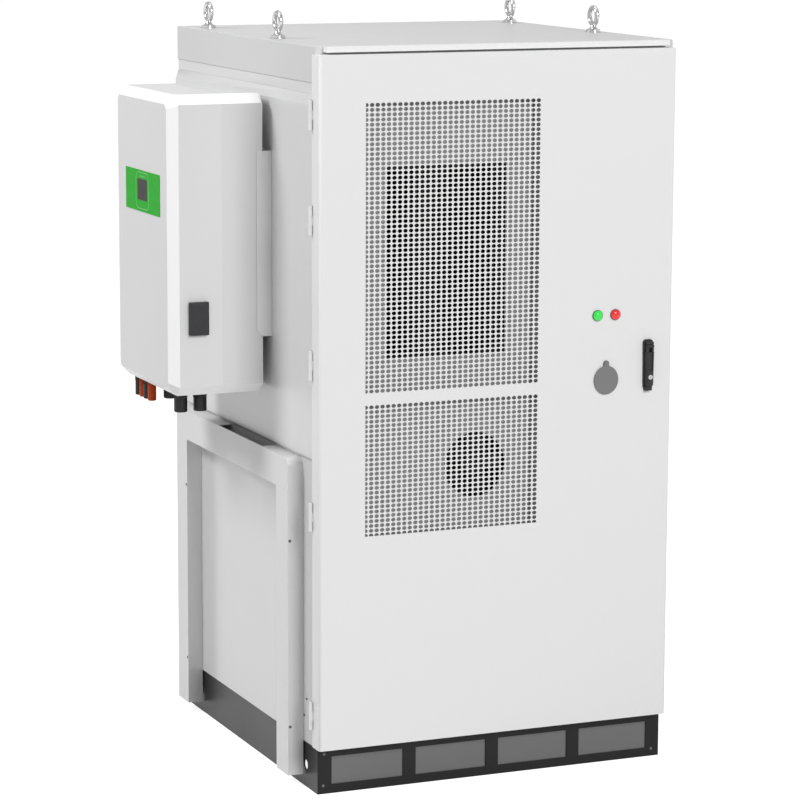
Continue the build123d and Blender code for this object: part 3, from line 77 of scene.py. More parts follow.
class Lay(Enum):
    """Direction of the fine lines on a worked metal, as noise scales along X, Y and Z."""

    NONE = (260.0, 260.0, 260.0)
    UPRIGHT = (900.0, 900.0, 12.0)


@dataclass(frozen=True)
class Colour:
    """Linear colour of a finish."""

    red: float
    green: float
    blue: float

    def rgba(self) -> tuple[float, float, float, float]:
        """The colour with full alpha."""
        return (self.red, self.green, self.blue, 1.0)

    def scaled(self, factor: float) -> "Colour":
        """The colour made lighter or darker by a factor."""
        return Colour(*(min(part * factor, 1.0) for part in (self.red, self.green, self.blue)))


# Black painted inside the cooler's housing as shade
SHADE_BLACK = Colour(0.008, 0.008, 0.008)
PALE_DUST = Colour(0.42, 0.40, 0.37)
GREY_DUST = Colour(0.35, 0.34, 0.32)


class NodeDesk:
    """Places and links nodes in one node tree."""

    def __init__(self, tree: bpy.types.NodeTree) -> None:
        """Keeps the tree that the nodes go into.

        Args:
            tree: the material's or group's node tree.
        """
        self.tree = tree

    def add(self, kind: str, **settings: object) -> bpy.types.Node:
        """Adds a node and sets its properties and plain input values.

        Args:
            kind: Blender's node type name.
            settings: properties by name; names of inputs are written with underscores for blanks.

        Returns:
            The new node.
        """
        node = self.tree.nodes.new(kind)
        for key, value in settings.items():
            if hasattr(node, key):
                setattr(node, key, value)
            else:
                node.inputs[key.replace("_", " ")].default_value = value
        return node

    def link(self, source: bpy.types.NodeSocket, target: bpy.types.NodeSocket) -> None:
        """Links an output to an input."""
        self.tree.links.new(source, target)

    def maths(self, operation: str, first: object, second: object) -> bpy.types.NodeSocket:
        """Adds a math node on sockets or numbers.

        Args:
            operation: Blender's name of the operation.
            first: a socket or a number.
            second: a socket or a number.

        Returns:
            The node's output socket.
        """
        node = self.tree.nodes.new("ShaderNodeMath")
        node.operation = operation
        for socket, value in zip(node.inputs, (first, second)):
            if isinstance(value, bpy.types.NodeSocket):
                self.link(value, socket)
            else:
                socket.default_value = value
        return node.outputs[0]

    def blend(self, mask: bpy.types.NodeSocket, low: object, high: object) -> bpy.types.NodeSocket:
        """Mixes two colours by a mask.

        Args:
            mask: the factor's socket.
            low: colour or socket where the mask is 0.
            high: colour or socket where the mask is 1.

        Returns:
            The mixed colour's socket.
        """
        node = self.tree.nodes.new("ShaderNodeMix")
        node.data_type = "RGBA"
        self.link(mask, node.inputs["Factor"])
        for socket, value in ((node.inputs[6], low), (node.inputs[7], high)):
            if isinstance(value, bpy.types.NodeSocket):
                self.link(value, socket)
            else:
                socket.default_value = value
        return node.outputs[2]


GroupParts = tuple[bpy.types.NodeTree, NodeDesk, bpy.types.Node, bpy.types.Node]


class EffectGroups:
    """Shader node groups that several finishes share, each built once."""

    @staticmethod
    def _open(name: str, inputs: Sequence[tuple[str, str, object]],
              outputs: Sequence[tuple[str, str]]) -> GroupParts:
        """Makes an empty group with its sockets.

        Args:
            name: the group's name.
            inputs: socket names, types and default values.
            outputs: socket names and types.

        Returns:
            The tree, its desk, and the group's input and output nodes.
        """
        tree = bpy.data.node_groups.new(name, "ShaderNodeTree")
        for label, kind, value in inputs:
            socket = tree.interface.new_socket(name=label, in_out="INPUT", socket_type=kind)
            socket.default_value = value
        for label, kind in outputs:
            tree.interface.new_socket(name=label, in_out="OUTPUT", socket_type=kind)
        desk = NodeDesk(tree)
        return tree, desk, desk.add("NodeGroupInput"), desk.add("NodeGroupOutput")

    @classmethod
    def coating_skin(cls) -> bpy.types.NodeTree:
        """Fine ripple of a sprayed coat: an uneven height and a slow change of gloss.

        Returns:
            The group, with Height and Gloss outputs.
        """
        name = "coating_skin"
        if name in bpy.data.node_groups:
            return bpy.data.node_groups[name]
        inputs = [("Ripple Scale", FLOAT, 700.0), ("Patch Scale", FLOAT, 3.0)]
        outputs = [("Height", FLOAT), ("Gloss", FLOAT)]
        tree, desk, entry, leave = cls._open(name, inputs, outputs)
        place = desk.add("ShaderNodeTexCoord")
        ripple = desk.add("ShaderNodeTexNoise", Detail=2.0)
        desk.link(place.outputs["Object"], ripple.inputs["Vector"])
        desk.link(entry.outputs["Ripple Scale"], ripple.inputs["Scale"])
        patch = desk.add("ShaderNodeTexNoise", Detail=3.0)
        desk.link(place.outputs["Object"], patch.inputs["Vector"])
        desk.link(entry.outputs["Patch Scale"], patch.inputs["Scale"])
        desk.link(ripple.outputs["Fac"], leave.inputs["Height"])
        desk.link(patch.outputs["Fac"], leave.inputs["Gloss"])
        return tree

    @classmethod
    def settled_dust(cls) -> bpy.types.NodeTree:
        """Thin dust that lies on level faces.

        Returns:
            The group, with a Mask output.
        """
        name = "settled_dust"
        if name in bpy.data.node_groups:
            return bpy.data.node_groups[name]
        tree, desk, entry, leave = cls._open(name, [("Level", FLOAT, 0.1)], [("Mask", FLOAT)])
        place = desk.add("ShaderNodeTexCoord")
        shape = desk.add("ShaderNodeNewGeometry")
        normal = desk.add("ShaderNodeSeparateXYZ")
        desk.link(shape.outputs["Normal"], normal.inputs[0])
        cloud = desk.add("ShaderNodeTexNoise", Scale=9.0, Detail=6.0)
        desk.link(place.outputs["Object"], cloud.inputs["Vector"])
        upward = desk.maths("MAXIMUM", normal.outputs["Z"], 0.0)
        lying = desk.maths("MULTIPLY", upward, entry.outputs["Level"])
        desk.link(desk.maths("MULTIPLY", lying, cloud.outputs["Fac"]), leave.inputs["Mask"])
        return tree

    @classmethod
    def slanted_faces(cls) -> bpy.types.NodeTree:
        """Faces that lie between the main directions, such as wide chamfers.

        Returns:
            The group, with a Mask output.
        """
        name = "slanted_faces"
        if name in bpy.data.node_groups:
            return bpy.data.node_groups[name]
        tree, desk, entry, leave = cls._open(name, [("Edge", FLOAT, 0.15)], [("Mask", FLOAT)])
        shape = desk.add("ShaderNodeNewGeometry")
        size = desk.add("ShaderNodeVectorMath", operation="ABSOLUTE")
        desk.link(shape.outputs["True Normal"], size.inputs[0])
        parts = desk.add("ShaderNodeSeparateXYZ")
        desk.link(size.outputs[0], parts.inputs[0])
        larger = desk.maths("MAXIMUM", parts.outputs["Y"], parts.outputs["Z"])
        largest = desk.maths("MAXIMUM", parts.outputs["X"], larger)
        slant = desk.maths("SUBTRACT", 1.0, largest)
        desk.link(desk.maths("GREATER_THAN", slant, entry.outputs["Edge"]), leave.inputs["Mask"])
        return tree

    @classmethod
    def inner_lining(cls) -> bpy.types.NodeTree:
        """Painted shade: black inside a housing, from a depth behind its front plate.

        Returns:
            The group, with a Mask output.
        """
        name = "inner_lining"
        if name in bpy.data.node_groups:
            return bpy.data.node_groups[name]
        tree, desk, entry, leave = cls._open(name, [("From", FLOAT, 0.0)], [("Mask", FLOAT)])
        place = desk.add("ShaderNodeTexCoord")
        parts = desk.add("ShaderNodeSeparateXYZ")
        desk.link(place.outputs["Object"], parts.inputs[0])
        desk.link(desk.maths("GREATER_THAN", parts.outputs["Y"], entry.outputs["From"]), leave.inputs["Mask"])
        return tree

    @classmethod
    def worked_grain(cls) -> bpy.types.NodeTree:
        """Fine parallel lines or mottled crystals on bare metal and moulded plastic.

        Returns:
            The group, with Height and Tone outputs.
        """
        name = "worked_grain"
        if name in bpy.data.node_groups:
            return bpy.data.node_groups[name]
        inputs = [("Across", "NodeSocketVector", (400.0, 400.0, 400.0))]
        outputs = [("Height", FLOAT), ("Tone", FLOAT)]
        tree, desk, entry, leave = cls._open(name, inputs, outputs)
        place = desk.add("ShaderNodeTexCoord")
        stretch = desk.add("ShaderNodeVectorMath", operation="MULTIPLY")
        desk.link(place.outputs["Object"], stretch.inputs[0])
        desk.link(entry.outputs["Across"], stretch.inputs[1])
        lines = desk.add("ShaderNodeTexNoise", Scale=1.0, Detail=4.0, Roughness=0.6)
        desk.link(stretch.outputs[0], lines.inputs["Vector"])
        cells = desk.add("ShaderNodeTexVoronoi", Scale=60.0)
        desk.link(place.outputs["Object"], cells.inputs["Vector"])
        desk.link(lines.outputs["Fac"], leave.inputs["Height"])
        tone = desk.maths("MULTIPLY", cells.outputs["Distance"], lines.outputs["Fac"])
        desk.link(tone, leave.inputs["Tone"])
        return tree


def group_node(desk: NodeDesk, tree: bpy.types.NodeTree, **values: object) -> bpy.types.Node:
    """Places a shared group in a material with its own values.

    Args:
        desk: the material's desk.
        tree: the group.
        values: input values, with underscores for blanks.

    Returns:
        The group's node.
    """
    node = desk.tree.nodes.new("ShaderNodeGroup")
    node.node_tree = tree
    for key, value in values.items():
        node.inputs[key.replace("_", " ")].default_value = value
    return node


@dataclass(frozen=True)
class Finish:
    """One surface finish; build() makes its material once and keeps it."""

    name: str
    colour: Colour

    def build(self) -> bpy.types.Material:
        """Makes the material, unless it is there already.

        Returns:
            The material.
        """
        label = f"finish_{self.name}"
        if label in bpy.data.materials:
            return bpy.data.materials[label]
        material = bpy.data.materials.new(label)
        material.use_nodes = True
        desk = NodeDesk(material.node_tree)
        self.mix(desk, material.node_tree.nodes["Principled BSDF"])
        return material

    def mix(self, desk: NodeDesk, shader: bpy.types.Node) -> None:
        """Adds the finish's own nodes in front of the shader."""
        shader.inputs["Base Color"].default_value = self.colour.rgba()


def add_bump(desk: NodeDesk, shader: bpy.types.Node, height: bpy.types.NodeSocket, depth: float) -> None:
    """Feeds a height into the shader's normal.

    Args:
        desk: the material's desk.
        shader: the Principled shader.
        height: the height's socket.
        depth: depth of the relief in metres.
    """
    bump = desk.add("ShaderNodeBump", Strength=BUMP_STRENGTH, Distance=depth)
    desk.link(height, bump.inputs["Height"])
    desk.link(bump.outputs["Normal"], shader.inputs["Normal"])


def spread(desk: NodeDesk, source: bpy.types.NodeSocket, low: float, high: float) -> bpy.types.NodeSocket:
    """Maps a noise value onto a range.

    Args:
        desk: the material's desk.
        source: socket with values round the middle of the noise's span.
        low: result at the span's low end.
        high: result at the span's high end.

    Returns:
        The mapped socket.
    """
    node = desk.add("ShaderNodeMapRange")
    desk.link(source, node.inputs["Value"])
    node.inputs["From Min"].default_value = NOISE_LOW
    node.inputs["From Max"].default_value = NOISE_HIGH
    node.inputs["To Min"].default_value = low
    node.inputs["To Max"].default_value = high
    return node.outputs["Result"]


@dataclass(frozen=True)
class PowderCoat(Finish):
    """Baked powder coat with a fine ripple, slight tone changes and settled dust.

    Where chamfer_highlight isn't 1, slanted faces take the colour times that factor: a painted highlight on
    the chamfers.
    Behind the depth painted_shade_from, the coat gives way to black: painted shade inside the housing.
    """

    roughness: float = 0.3
    dust: float = 0.25
    ripple: float = 0.00002
    tone: float = 0.02
    chamfer_highlight: float = 1.0
    painted_shade_from: float = math.inf
    shine: float = 0.5
    ripple_scale: float = 650.0
    patch_scale: float = 2.4
    gloss_drift: float = 0.15
    dust_dulls: float = 0.4

    def mix(self, desk: NodeDesk, shader: bpy.types.Node) -> None:
        """Colour with patches and dust, roughness that drifts, rippled normal.

        Args:
            desk: the material's desk.
            shader: the Principled shader.
        """
        skin = group_node(desk, EffectGroups.coating_skin(), Ripple_Scale=self.ripple_scale,
                          Patch_Scale=self.patch_scale)
        dust = group_node(desk, EffectGroups.settled_dust(), Level=self.dust)
        light = self.colour.scaled(1.0 + self.tone).rgba()
        dark = self.colour.scaled(1.0 - self.tone).rgba()
        painted = desk.blend(skin.outputs["Gloss"], dark, light)
        # Painted highlight: slanted faces such as chamfers are lightened by a factor
        if self.chamfer_highlight != 1.0:
            slant = group_node(desk, EffectGroups.slanted_faces())
            painted = desk.blend(slant.outputs["Mask"], painted, self.colour.scaled(self.chamfer_highlight).rgba())
        # Painted shade: black behind a depth, inside a housing
        if self.painted_shade_from != math.inf:
            painted_shade_node = group_node(desk, EffectGroups.inner_lining(), From=self.painted_shade_from)
            painted = desk.blend(painted_shade_node.outputs["Mask"], painted, SHADE_BLACK.rgba())
        settled = desk.blend(dust.outputs["Mask"], painted, PALE_DUST.rgba())
        desk.link(settled, shader.inputs["Base Color"])
        smoothest = self.roughness * (1.0 - self.gloss_drift)
        roughest = self.roughness * (1.0 + self.gloss_drift)
        gloss = spread(desk, skin.outputs["Gloss"], smoothest, roughest)
        dulled = desk.maths("MULTIPLY", dust.outputs["Mask"], self.dust_dulls)
        desk.link(desk.maths("ADD", gloss, dulled), shader.inputs["Roughness"])
        shader.inputs["Specular IOR Level"].default_value = self.shine
        add_bump(desk, shader, skin.outputs["Height"], self.ripple)


@dataclass(frozen=True)
class WorkedMetal(Finish):
    """Bare or plated metal with a grain that can run one way."""

    roughness: float = 0.35
    lay: Lay = Lay.NONE
    depth: float = 0.00003
    contrast: float = 0.18
    tone_gain: float = 2.0
    smooth_share: float = 0.75
    rough_share: float = 1.3

    def mix(self, desk: NodeDesk, shader: bpy.types.Node) -> None:
        """Metallic colour with crystals or lines, uneven roughness and a fine relief.

        Args:
            desk: the material's desk.
            shader: the Principled shader.
        """
        grain = group_node(desk, EffectGroups.worked_grain(), Across=self.lay.value)
        tone = desk.maths("MULTIPLY", grain.outputs["Tone"], self.tone_gain)
        dark = self.colour.scaled(1.0 - self.contrast).rgba()
        desk.link(desk.blend(tone, dark, self.colour.rgba()), shader.inputs["Base Color"])
        smoothest = self.roughness * self.smooth_share
        roughest = self.roughness * self.rough_share
        desk.link(spread(desk, grain.outputs["Height"], smoothest, roughest), shader.inputs["Roughness"])
        shader.inputs["Metallic"].default_value = 1.0
        add_bump(desk, shader, grain.outputs["Height"], self.depth)


@dataclass(frozen=True)
class Moulded(Finish):
    """Moulded plastic or rubber with an eroded grain."""

    roughness: float = 0.45
    depth: float = 0.00005
    dust: float = 0.1
    shine: float = 0.5
    pebble_scale: float = 1100.0
    pebble_tone: float = 1.25
    smooth_share: float = 0.85
    rough_share: float = 1.2

    def mix(self, desk: NodeDesk, shader: bpy.types.Node) -> None:
        """Coloured body with a pebbled skin and a trace of dust.

        Args:
            desk: the material's desk.
            shader: the Principled shader.
        """
        grain = group_node(desk, EffectGroups.worked_grain(), Across=(self.pebble_scale,) * 3)
        dust = group_node(desk, EffectGroups.settled_dust(), Level=self.dust)
        lighter = self.colour.scaled(self.pebble_tone)
        body = desk.blend(grain.outputs["Tone"], self.colour.rgba(), lighter.rgba())
        settled = desk.blend(dust.outputs["Mask"], body, GREY_DUST.rgba())
        desk.link(settled, shader.inputs["Base Color"])
        smoothest = self.roughness * self.smooth_share
        roughest = self.roughness * self.rough_share
        desk.link(spread(desk, grain.outputs["Height"], smoothest, roughest), shader.inputs["Roughness"])
        shader.inputs["Specular IOR Level"].default_value = self.shine
        add_bump(desk, shader, grain.outputs["Height"], self.depth)


@dataclass(frozen=True)
class LampLens(Finish):
    """Glowing coloured lens under a thin clear coat."""

    glow: float = 1.0
    fleck_scale: float = 180.0
    fleck_tone: float = 0.2
    smoothest: float = 0.05
    roughest: float = 0.12
    coat: float = 0.3
    coat_roughness: float = 0.03

    def mix(self, desk: NodeDesk, shader: bpy.types.Node) -> None:
        """Clear gloss over a colour that glows unevenly.

        Args:
            desk: the material's desk.
            shader: the Principled shader.
        """
        flecks = desk.add("ShaderNodeTexNoise", Scale=self.fleck_scale, Detail=1.0)
        place = desk.add("ShaderNodeTexCoord")
        desk.link(place.outputs["Object"], flecks.inputs["Vector"])
        dark = self.colour.scaled(1.0 - self.fleck_tone)
        light = self.colour.scaled(1.0 + self.fleck_tone)
        body = desk.blend(flecks.outputs["Fac"], dark.rgba(), light.rgba())
        desk.link(body, shader.inputs["Base Color"])
        desk.link(body, shader.inputs["Emission Color"])
        shader.inputs["Emission Strength"].default_value = self.glow
        gloss = spread(desk, flecks.outputs["Fac"], self.smoothest, self.roughest)
        desk.link(gloss, shader.inputs["Roughness"])
        shader.inputs["Coat Weight"].default_value = self.coat
        shader.inputs["Coat Roughness"].default_value = self.coat_roughness


# The painted shade starts within the thickness of the cooler's front plate, so that its face keeps the coat
PAINTED_SHADE_DEPTH = 1.2 * MM
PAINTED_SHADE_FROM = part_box("cooler_housing")[0].y + PAINTED_SHADE_DEPTH

DOOR_PAINT = PowderCoat("door_paint", Colour(0.88, 0.88, 0.88), roughness=0.4, dust=0.02, tone=0.004)
WALL_PAINT = PowderCoat("wall_paint", Colour(0.73, 0.73, 0.735), roughness=0.22, dust=0.02, tone=0.006)
ROOF_PAINT = PowderCoat("roof_paint", Colour(0.66, 0.66, 0.665), roughness=0.34, dust=0.04, tone=0.006)
DUCT_PAINT = PowderCoat("duct_paint", Colour(0.76, 0.76, 0.76), roughness=0.34, dust=0.03, tone=0.006)
BLACK_PAINT = PowderCoat("black_paint", Colour(0.010, 0.010, 0.0105), roughness=0.35, dust=0.02, tone=0.1,
                         shine=0.22)
WINDOW_PAINT = PowderCoat("window_paint", Colour(0.15, 0.15, 0.15), roughness=0.4, dust=0.02, tone=0.03)
# Painted highlight on the inverter's chamfers, through chamfer_highlight
CAST_COAT = PowderCoat("cast_coat", Colour(0.73, 0.73, 0.73), roughness=0.34, dust=0.03, ripple=0.00003,
                       tone=0.006, chamfer_highlight=1.34)
# Painted shade: a darker copy of the cast coat for the inverter's case, the rear part next to the wall
CAST_COAT_SHADED = PowderCoat("cast_coat_painted_shade", Colour(0.69, 0.69, 0.69), roughness=0.34, dust=0.03, ripple=0.00003,
                        tone=0.006, chamfer_highlight=1.4)
MODULE_COAT = PowderCoat("module_coat", Colour(0.05, 0.052, 0.055), roughness=0.45, dust=0.1, tone=0.05)
# Painted shade: the cooler's housing turns black behind its front plate
COOLER_COAT = PowderCoat("cooler_coat", Colour(0.40, 0.40, 0.40), roughness=0.6, dust=0.02, tone=0.03,
                         painted_shade_from=PAINTED_SHADE_FROM)
PORT_COAT = PowderCoat("port_coat", Colour(0.20, 0.20, 0.20), roughness=0.4, dust=0.02, tone=0.03)
ZINC = WorkedMetal("zinc_plate", Colour(0.55, 0.56, 0.57), roughness=0.38)
DARK_ZINC = WorkedMetal("dark_zinc", Colour(0.16, 0.16, 0.16), roughness=0.45)
CHROME = WorkedMetal("polished_steel", Colour(0.62, 0.62, 0.63), roughness=0.12, depth=0.00001,
                     contrast=0.05)
COPPER = WorkedMetal("copper_bar", Colour(0.72, 0.38, 0.22), roughness=0.3, lay=Lay.UPRIGHT)
# Painted shade: the coil's fins are near black, standing in for the shade behind the grilles
FINS_PAINTED_SHADE = PowderCoat("coil_fins", Colour(0.012, 0.012, 0.013), roughness=0.8, dust=0.02, tone=0.1)
RUBBER = Moulded("seal_rubber", Colour(0.015, 0.015, 0.015), roughness=0.7, dust=0.02)
DARK_PLASTIC = Moulded("dark_plastic", Colour(0.05, 0.05, 0.05), roughness=0.4, dust=0.02)
GREY_PLASTIC = Moulded("grey_plastic", Colour(0.036, 0.036, 0.038), roughness=0.45, dust=0.02, shine=0.2)
BLACK_PLASTIC = Moulded("black_plastic", Colour(0.008, 0.008, 0.009), roughness=0.4, dust=0.02, shine=0.3)
ORANGE_PLASTIC = Moulded("orange_plastic", Colour(0.42, 0.055, 0.008), roughness=0.4, dust=0.02, shine=0.15)
PALE_PRINT = Moulded("pale_print", Colour(0.42, 0.78, 0.42), roughness=0.5, depth=0.00001, dust=0.02,
                     shine=0.1)
GREEN_SHEET = Moulded("green_sheet", Colour(0.036, 0.42, 0.038), roughness=0.5, depth=0.00001, dust=0.02,
                      shine=0.05)
DISPLAY = Moulded("display_window", Colour(0.042, 0.032, 0.036), roughness=0.4, depth=0.000005, dust=0.02,
                  shine=0.08)
GREEN_LAMP = LampLens("green_lamp", Colour(0.01, 0.62, 0.05), glow=0.45)
RED_LAMP = LampLens("red_lamp", Colour(0.72, 0.008, 0.012), glow=0.4)


def dress(nodes: Iterable[str], finish: Finish, edge: float = 0.0) -> None:
    """Gives CAD nodes their finish and, where asked, softened edges.

    Args:
        nodes: names of the CAD nodes.
        finish: the finish they take.
        edge: width of the softened edges in metres, 0 for none.
    """
    for name in nodes:
        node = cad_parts[name]
        node.data.materials.clear()
        node.data.materials.append(finish.build())
        if edge > 0.0:
            weld = node.modifiers.new("weld", "WELD")
            weld.merge_threshold = WELD_GAP
            bevel = node.modifiers.new("soft_edge", "BEVEL")
            bevel.width = edge
            bevel.segments = SOFT_STEPS
            bevel.limit_method = "ANGLE"
            bevel.angle_limit = SOFT_ANGLE
            bevel.use_clamp_overlap = True
            bevel.harden_normals = True
        LOG.info("dressed %s in %s", name, finish.name)


def mesh_piece(name: str, shape: bmesh.types.BMesh, finish: Finish, body: str,
               smooth: bool = True) -> bpy.types.Object:
    """Turns a bmesh into a piece that rides on a body.

    Args:
        name: the piece's name.
        shape: the mesh under construction, freed here.
        finish: its finish.
        body: the CAD body it rides on.
        smooth: whether gentle edges are shaded smooth.

    Returns:
        The new object.
    """
    bmesh.ops.recalc_face_normals(shape, faces=shape.faces)
    mesh = bpy.data.meshes.new(name)
    shape.to_mesh(mesh)
    shape.free()
    if smooth:
        mesh.shade_smooth()
        mesh.set_sharp_from_angle(angle=SMOOTH_ANGLE)
    mesh.materials.append(finish.build())
    piece = bpy.data.objects.new(name, mesh)
    bpy.context.scene.collection.objects.link(piece)
    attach(piece, body)
    LOG.info("piece %s: %d faces on %s", name, len(mesh.polygons), body)
    return piece


def facing(place: Vector, side: Side) -> Matrix:
    """Matrix that carries a fitting modelled along +Z to its place, facing a side.

    Args:
        place: the fitting's foot.
        side: the side it faces.

    Returns:
        The matrix.
    """
    turns = {
        Side.FRONT: Matrix.Rotation(math.radians(90), 4, "X"),
        Side.LEFT: Matrix.Rotation(math.radians(-90), 4, "Y"),
    }
    return Matrix.Translation(place) @ turns[side]


def revolve(shape: bmesh.types.BMesh, profile: Sequence[tuple[float, float]], at: Matrix,
            steps: int) -> None:
    """Adds a turned form; the profile runs from the foot to the crown.

    Args:
        shape: the mesh that it is added to.
        profile: radius and height pairs in metres.
        at: matrix from the profile's frame to the cabinet's.
        steps: number of facets round the form.
    """
    rings = []
    for radius, height in profile:
        ring = []
        for i in range(steps):
            angle = 2 * math.pi * i / steps
            point = Vector((radius * math.cos(angle), radius * math.sin(angle), height))
            ring.append(shape.verts.new(at @ point))
        rings.append(ring)
    for low, high in zip(rings, rings[1:]):
        for i in range(steps):
            j = (i + 1) % steps
            shape.faces.new((low[i], low[j], high[j], high[i]))
    shape.faces.new(list(reversed(rings[0])))
    shape.faces.new(rings[-1])


@dataclass
class CrossScrews:
    """Pan head screws with a cross recess."""

    head_radius: float = 3.6 * MM
    head_height: float = 1.8 * MM
    recess: float = 1.8 * MM
    slot_width: float = 0.7 * MM
    recess_foot_share: float = 0.8
    recess_floor_share: float = 0.55
    cross_height_share: float = 0.3
    cross_lift_share: float = 0.66
    facets: int = 16
    finish: Finish = DARK_ZINC

    def add(self, shape: bmesh.types.BMesh, place: Vector, side: Side) -> None:
        """Adds one screw head.

        Args:
            shape: the mesh that it is added to.
            place: the head's foot, on the sheet.
            side: the side it faces.
        """
        at = facing(place, side)
        height = self.head_height
        profile = [(self.head_radius * out, height * up) for out, up in PAN_HEAD]
        profile += [(self.recess, height)]
        profile += [(self.recess * self.recess_foot_share, height * self.recess_floor_share)]
        revolve(shape, profile, at, self.facets)
        for turn in (0, 90):
            bar = bmesh.ops.create_cube(shape, size=1.0)["verts"]
            size = Matrix.Diagonal((self.recess * 2, self.slot_width, height * self.cross_height_share, 1.0))
            lift = Matrix.Translation((0, 0, height * self.cross_lift_share))
            spin = Matrix.Rotation(math.radians(turn), 4, "Z")
            bmesh.ops.transform(shape, matrix=at @ spin @ lift @ size, verts=bar)

    def build(self, name: str, places: Sequence[tuple[Vector, Side]], body: str) -> None:
        """Makes a set of screws as one piece.

        Args:
            name: the piece's name.
            places: foot and side of each screw.
            body: the body that carries them.
        """
        shape = bmesh.new()
        for place, side in places:
            self.add(shape, place, side)
        mesh_piece(name, shape, self.finish, body)


@dataclass
class PerforatedPanel:
    """Sheet with close rows of oval holes, clipped by its window.

    first_column and first_row are the first hole's place from the window's upper left corner, in pitches.
    """

    node: str
    pitch_x: float = 17.5 * MM
    pitch_z: float = 14.02 * MM
    hole_half_x: float = 7.0 * MM
    hole_half_z: float = 5.8 * MM
    facets: int = 16
    thickness: float = 1.5 * MM
    first_column: float = 0.08
    first_row: float = 0.42
    join_gap: float = 0.00002

    def cell(self, shape: bmesh.types.BMesh, x: float, z: float, y: float) -> None:
        """Adds one cell of sheet round its hole, front, back and wall.

        Args:
            shape: the mesh that it is added to.
            x: the hole's centre across.
            z: the hole's centre in height.
            y: the sheet's front face.
        """
        rows = []
        for depth in (y, y + self.thickness):
            outer, inner = [], []
            for i in range(self.facets):
                angle = 2 * math.pi * i / self.facets
                across, up = math.cos(angle), math.sin(angle)
                reach = 0.5 / max(abs(across), abs(up))
                border = (x + across * reach * self.pitch_x, depth, z + up * reach * self.pitch_z)
                rim = (x + across * self.hole_half_x, depth, z + up * self.hole_half_z)
                outer.append(shape.verts.new(border))
                inner.append(shape.verts.new(rim))
            rows.append((outer, inner))
        (front_outer, front_inner), (back_outer, back_inner) = rows
        for i in range(self.facets):
            j = (i + 1) % self.facets
            shape.faces.new((front_outer[i], front_outer[j], front_inner[j], front_inner[i]))
            shape.faces.new((back_inner[i], back_inner[j], back_outer[j], back_outer[i]))
            shape.faces.new((front_inner[i], front_inner[j], back_inner[j], back_inner[i]))

    def build(self) -> None:
        """Makes the panel in its door window, where it stands for the plain plate."""
        low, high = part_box(self.node)
        shape = bmesh.new()
        columns = math.ceil((high.x - low.x) / self.pitch_x) + 1
        rows = math.ceil((high.z - low.z) / self.pitch_z) + 1
        for i in range(columns):
            for j in range(rows):
                x = low.x + (i + self.first_column) * self.pitch_x
                z = high.z - (j + self.first_row) * self.pitch_z
                self.cell(shape, x, z, low.y)
        bmesh.ops.remove_doubles(shape, verts=shape.verts, dist=self.join_gap)
        for point, normal in ((low, (-1, 0, 0)), (high, (1, 0, 0)), (low, (0, 0, -1)), (high, (0, 0, 1))):
            everything = shape.verts[:] + shape.edges[:] + shape.faces[:]
            bmesh.ops.bisect_plane(shape, geom=everything, plane_co=point, plane_no=normal, clear_outer=True)
        piece = mesh_piece(f"{self.node}_sheet", shape, DOOR_PAINT, "door", smooth=False)
        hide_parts(self.node)


class Assembly:
    """One sub-assembly of the cabinet."""

    def dress(self) -> None:
        """Gives the sub-assembly's CAD nodes their finishes."""

    def build(self) -> None:
        """Adds the sub-assembly's own small pieces, if it has any."""


@dataclass
class Plinth(Assembly):
    """Black plinth with its window plates and screws; screw_spots are places along X and Z."""

    screw_spots: tuple[tuple[float, float], ...] = (
        (-547 * MM, 25 * MM),
        (-544 * MM, 122 * MM),
        (540 * MM, 23 * MM),
    )
    screws: CrossScrews = field(default_factory=CrossScrews)

    def dress(self) -> None:
        """Gives the channels, plates and floor their finishes."""
        dress(["plinth_frame"], BLACK_PAINT, 0.8 * MM)
        dress(["plinth_windows"], WINDOW_PAINT)
        dress(["floor_plate"], ZINC)

    def build(self) -> None:
        """Adds the screws on the front channel."""
        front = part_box("plinth_frame")[0].y
        places = [(Vector((x, front, z)), Side.FRONT) for x, z in self.screw_spots]
        self.screws.build("plinth_screws", places, "cabinet")


@dataclass
class CabinetShell(Assembly):
    """Frame, walls, roof, lifting eyes and seal; hinge_screws are places along Y and Z."""

    hinge_screws: tuple[tuple[float, float], ...] = ((-501 * MM, 219 * MM), (-521 * MM, 273 * MM))
    screws: CrossScrews = field(default_factory=lambda: CrossScrews(head_radius=3.2 * MM))

    def dress(self) -> None:
        """Gives every part of the shell its finish."""
        dress(["side_panels", "rear_panel", "wall_sheets", "front_trim"], WALL_PAINT, 0.7 * MM)
        dress(["roof"], ROOF_PAINT, 0.7 * MM)
        dress(["rain_lip"], DOOR_PAINT, 0.6 * MM)
        dress(["hinge_brackets"], DOOR_PAINT)
        dress(["corner_posts", "frame_rails", "lifting_rails", "lock_keepers"], ZINC)
        dress(["lifting_eyes", "hinge_pins"], CHROME)
        dress(["door_seal"], RUBBER)

    def build(self) -> None:
        """Adds the screws of the lowest hinge on the left wall."""
        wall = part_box("wall_sheets")[0].x
        places = [(Vector((wall, y, z)), Side.LEFT) for y, z in self.hinge_screws]
        self.screws.build("hinge_screws", places, "cabinet")


@dataclass
class BatteryBay(Assembly):
    """Rack, modules, links, switching box and its knob."""

    modules: int = 5

    def dress(self) -> None:
        """Gives the bay's parts their finishes."""
        dress(["battery_rack"], ZINC)
        dress([f"battery_module_{i + 1}" for i in range(self.modules)], MODULE_COAT, 1.5 * MM)
        dress(["high_voltage_box"], MODULE_COAT, 0.7 * MM)
        dress(["module_links"], COPPER)
        dress(["disconnect_knob"], ORANGE_PLASTIC, 1.5 * MM)


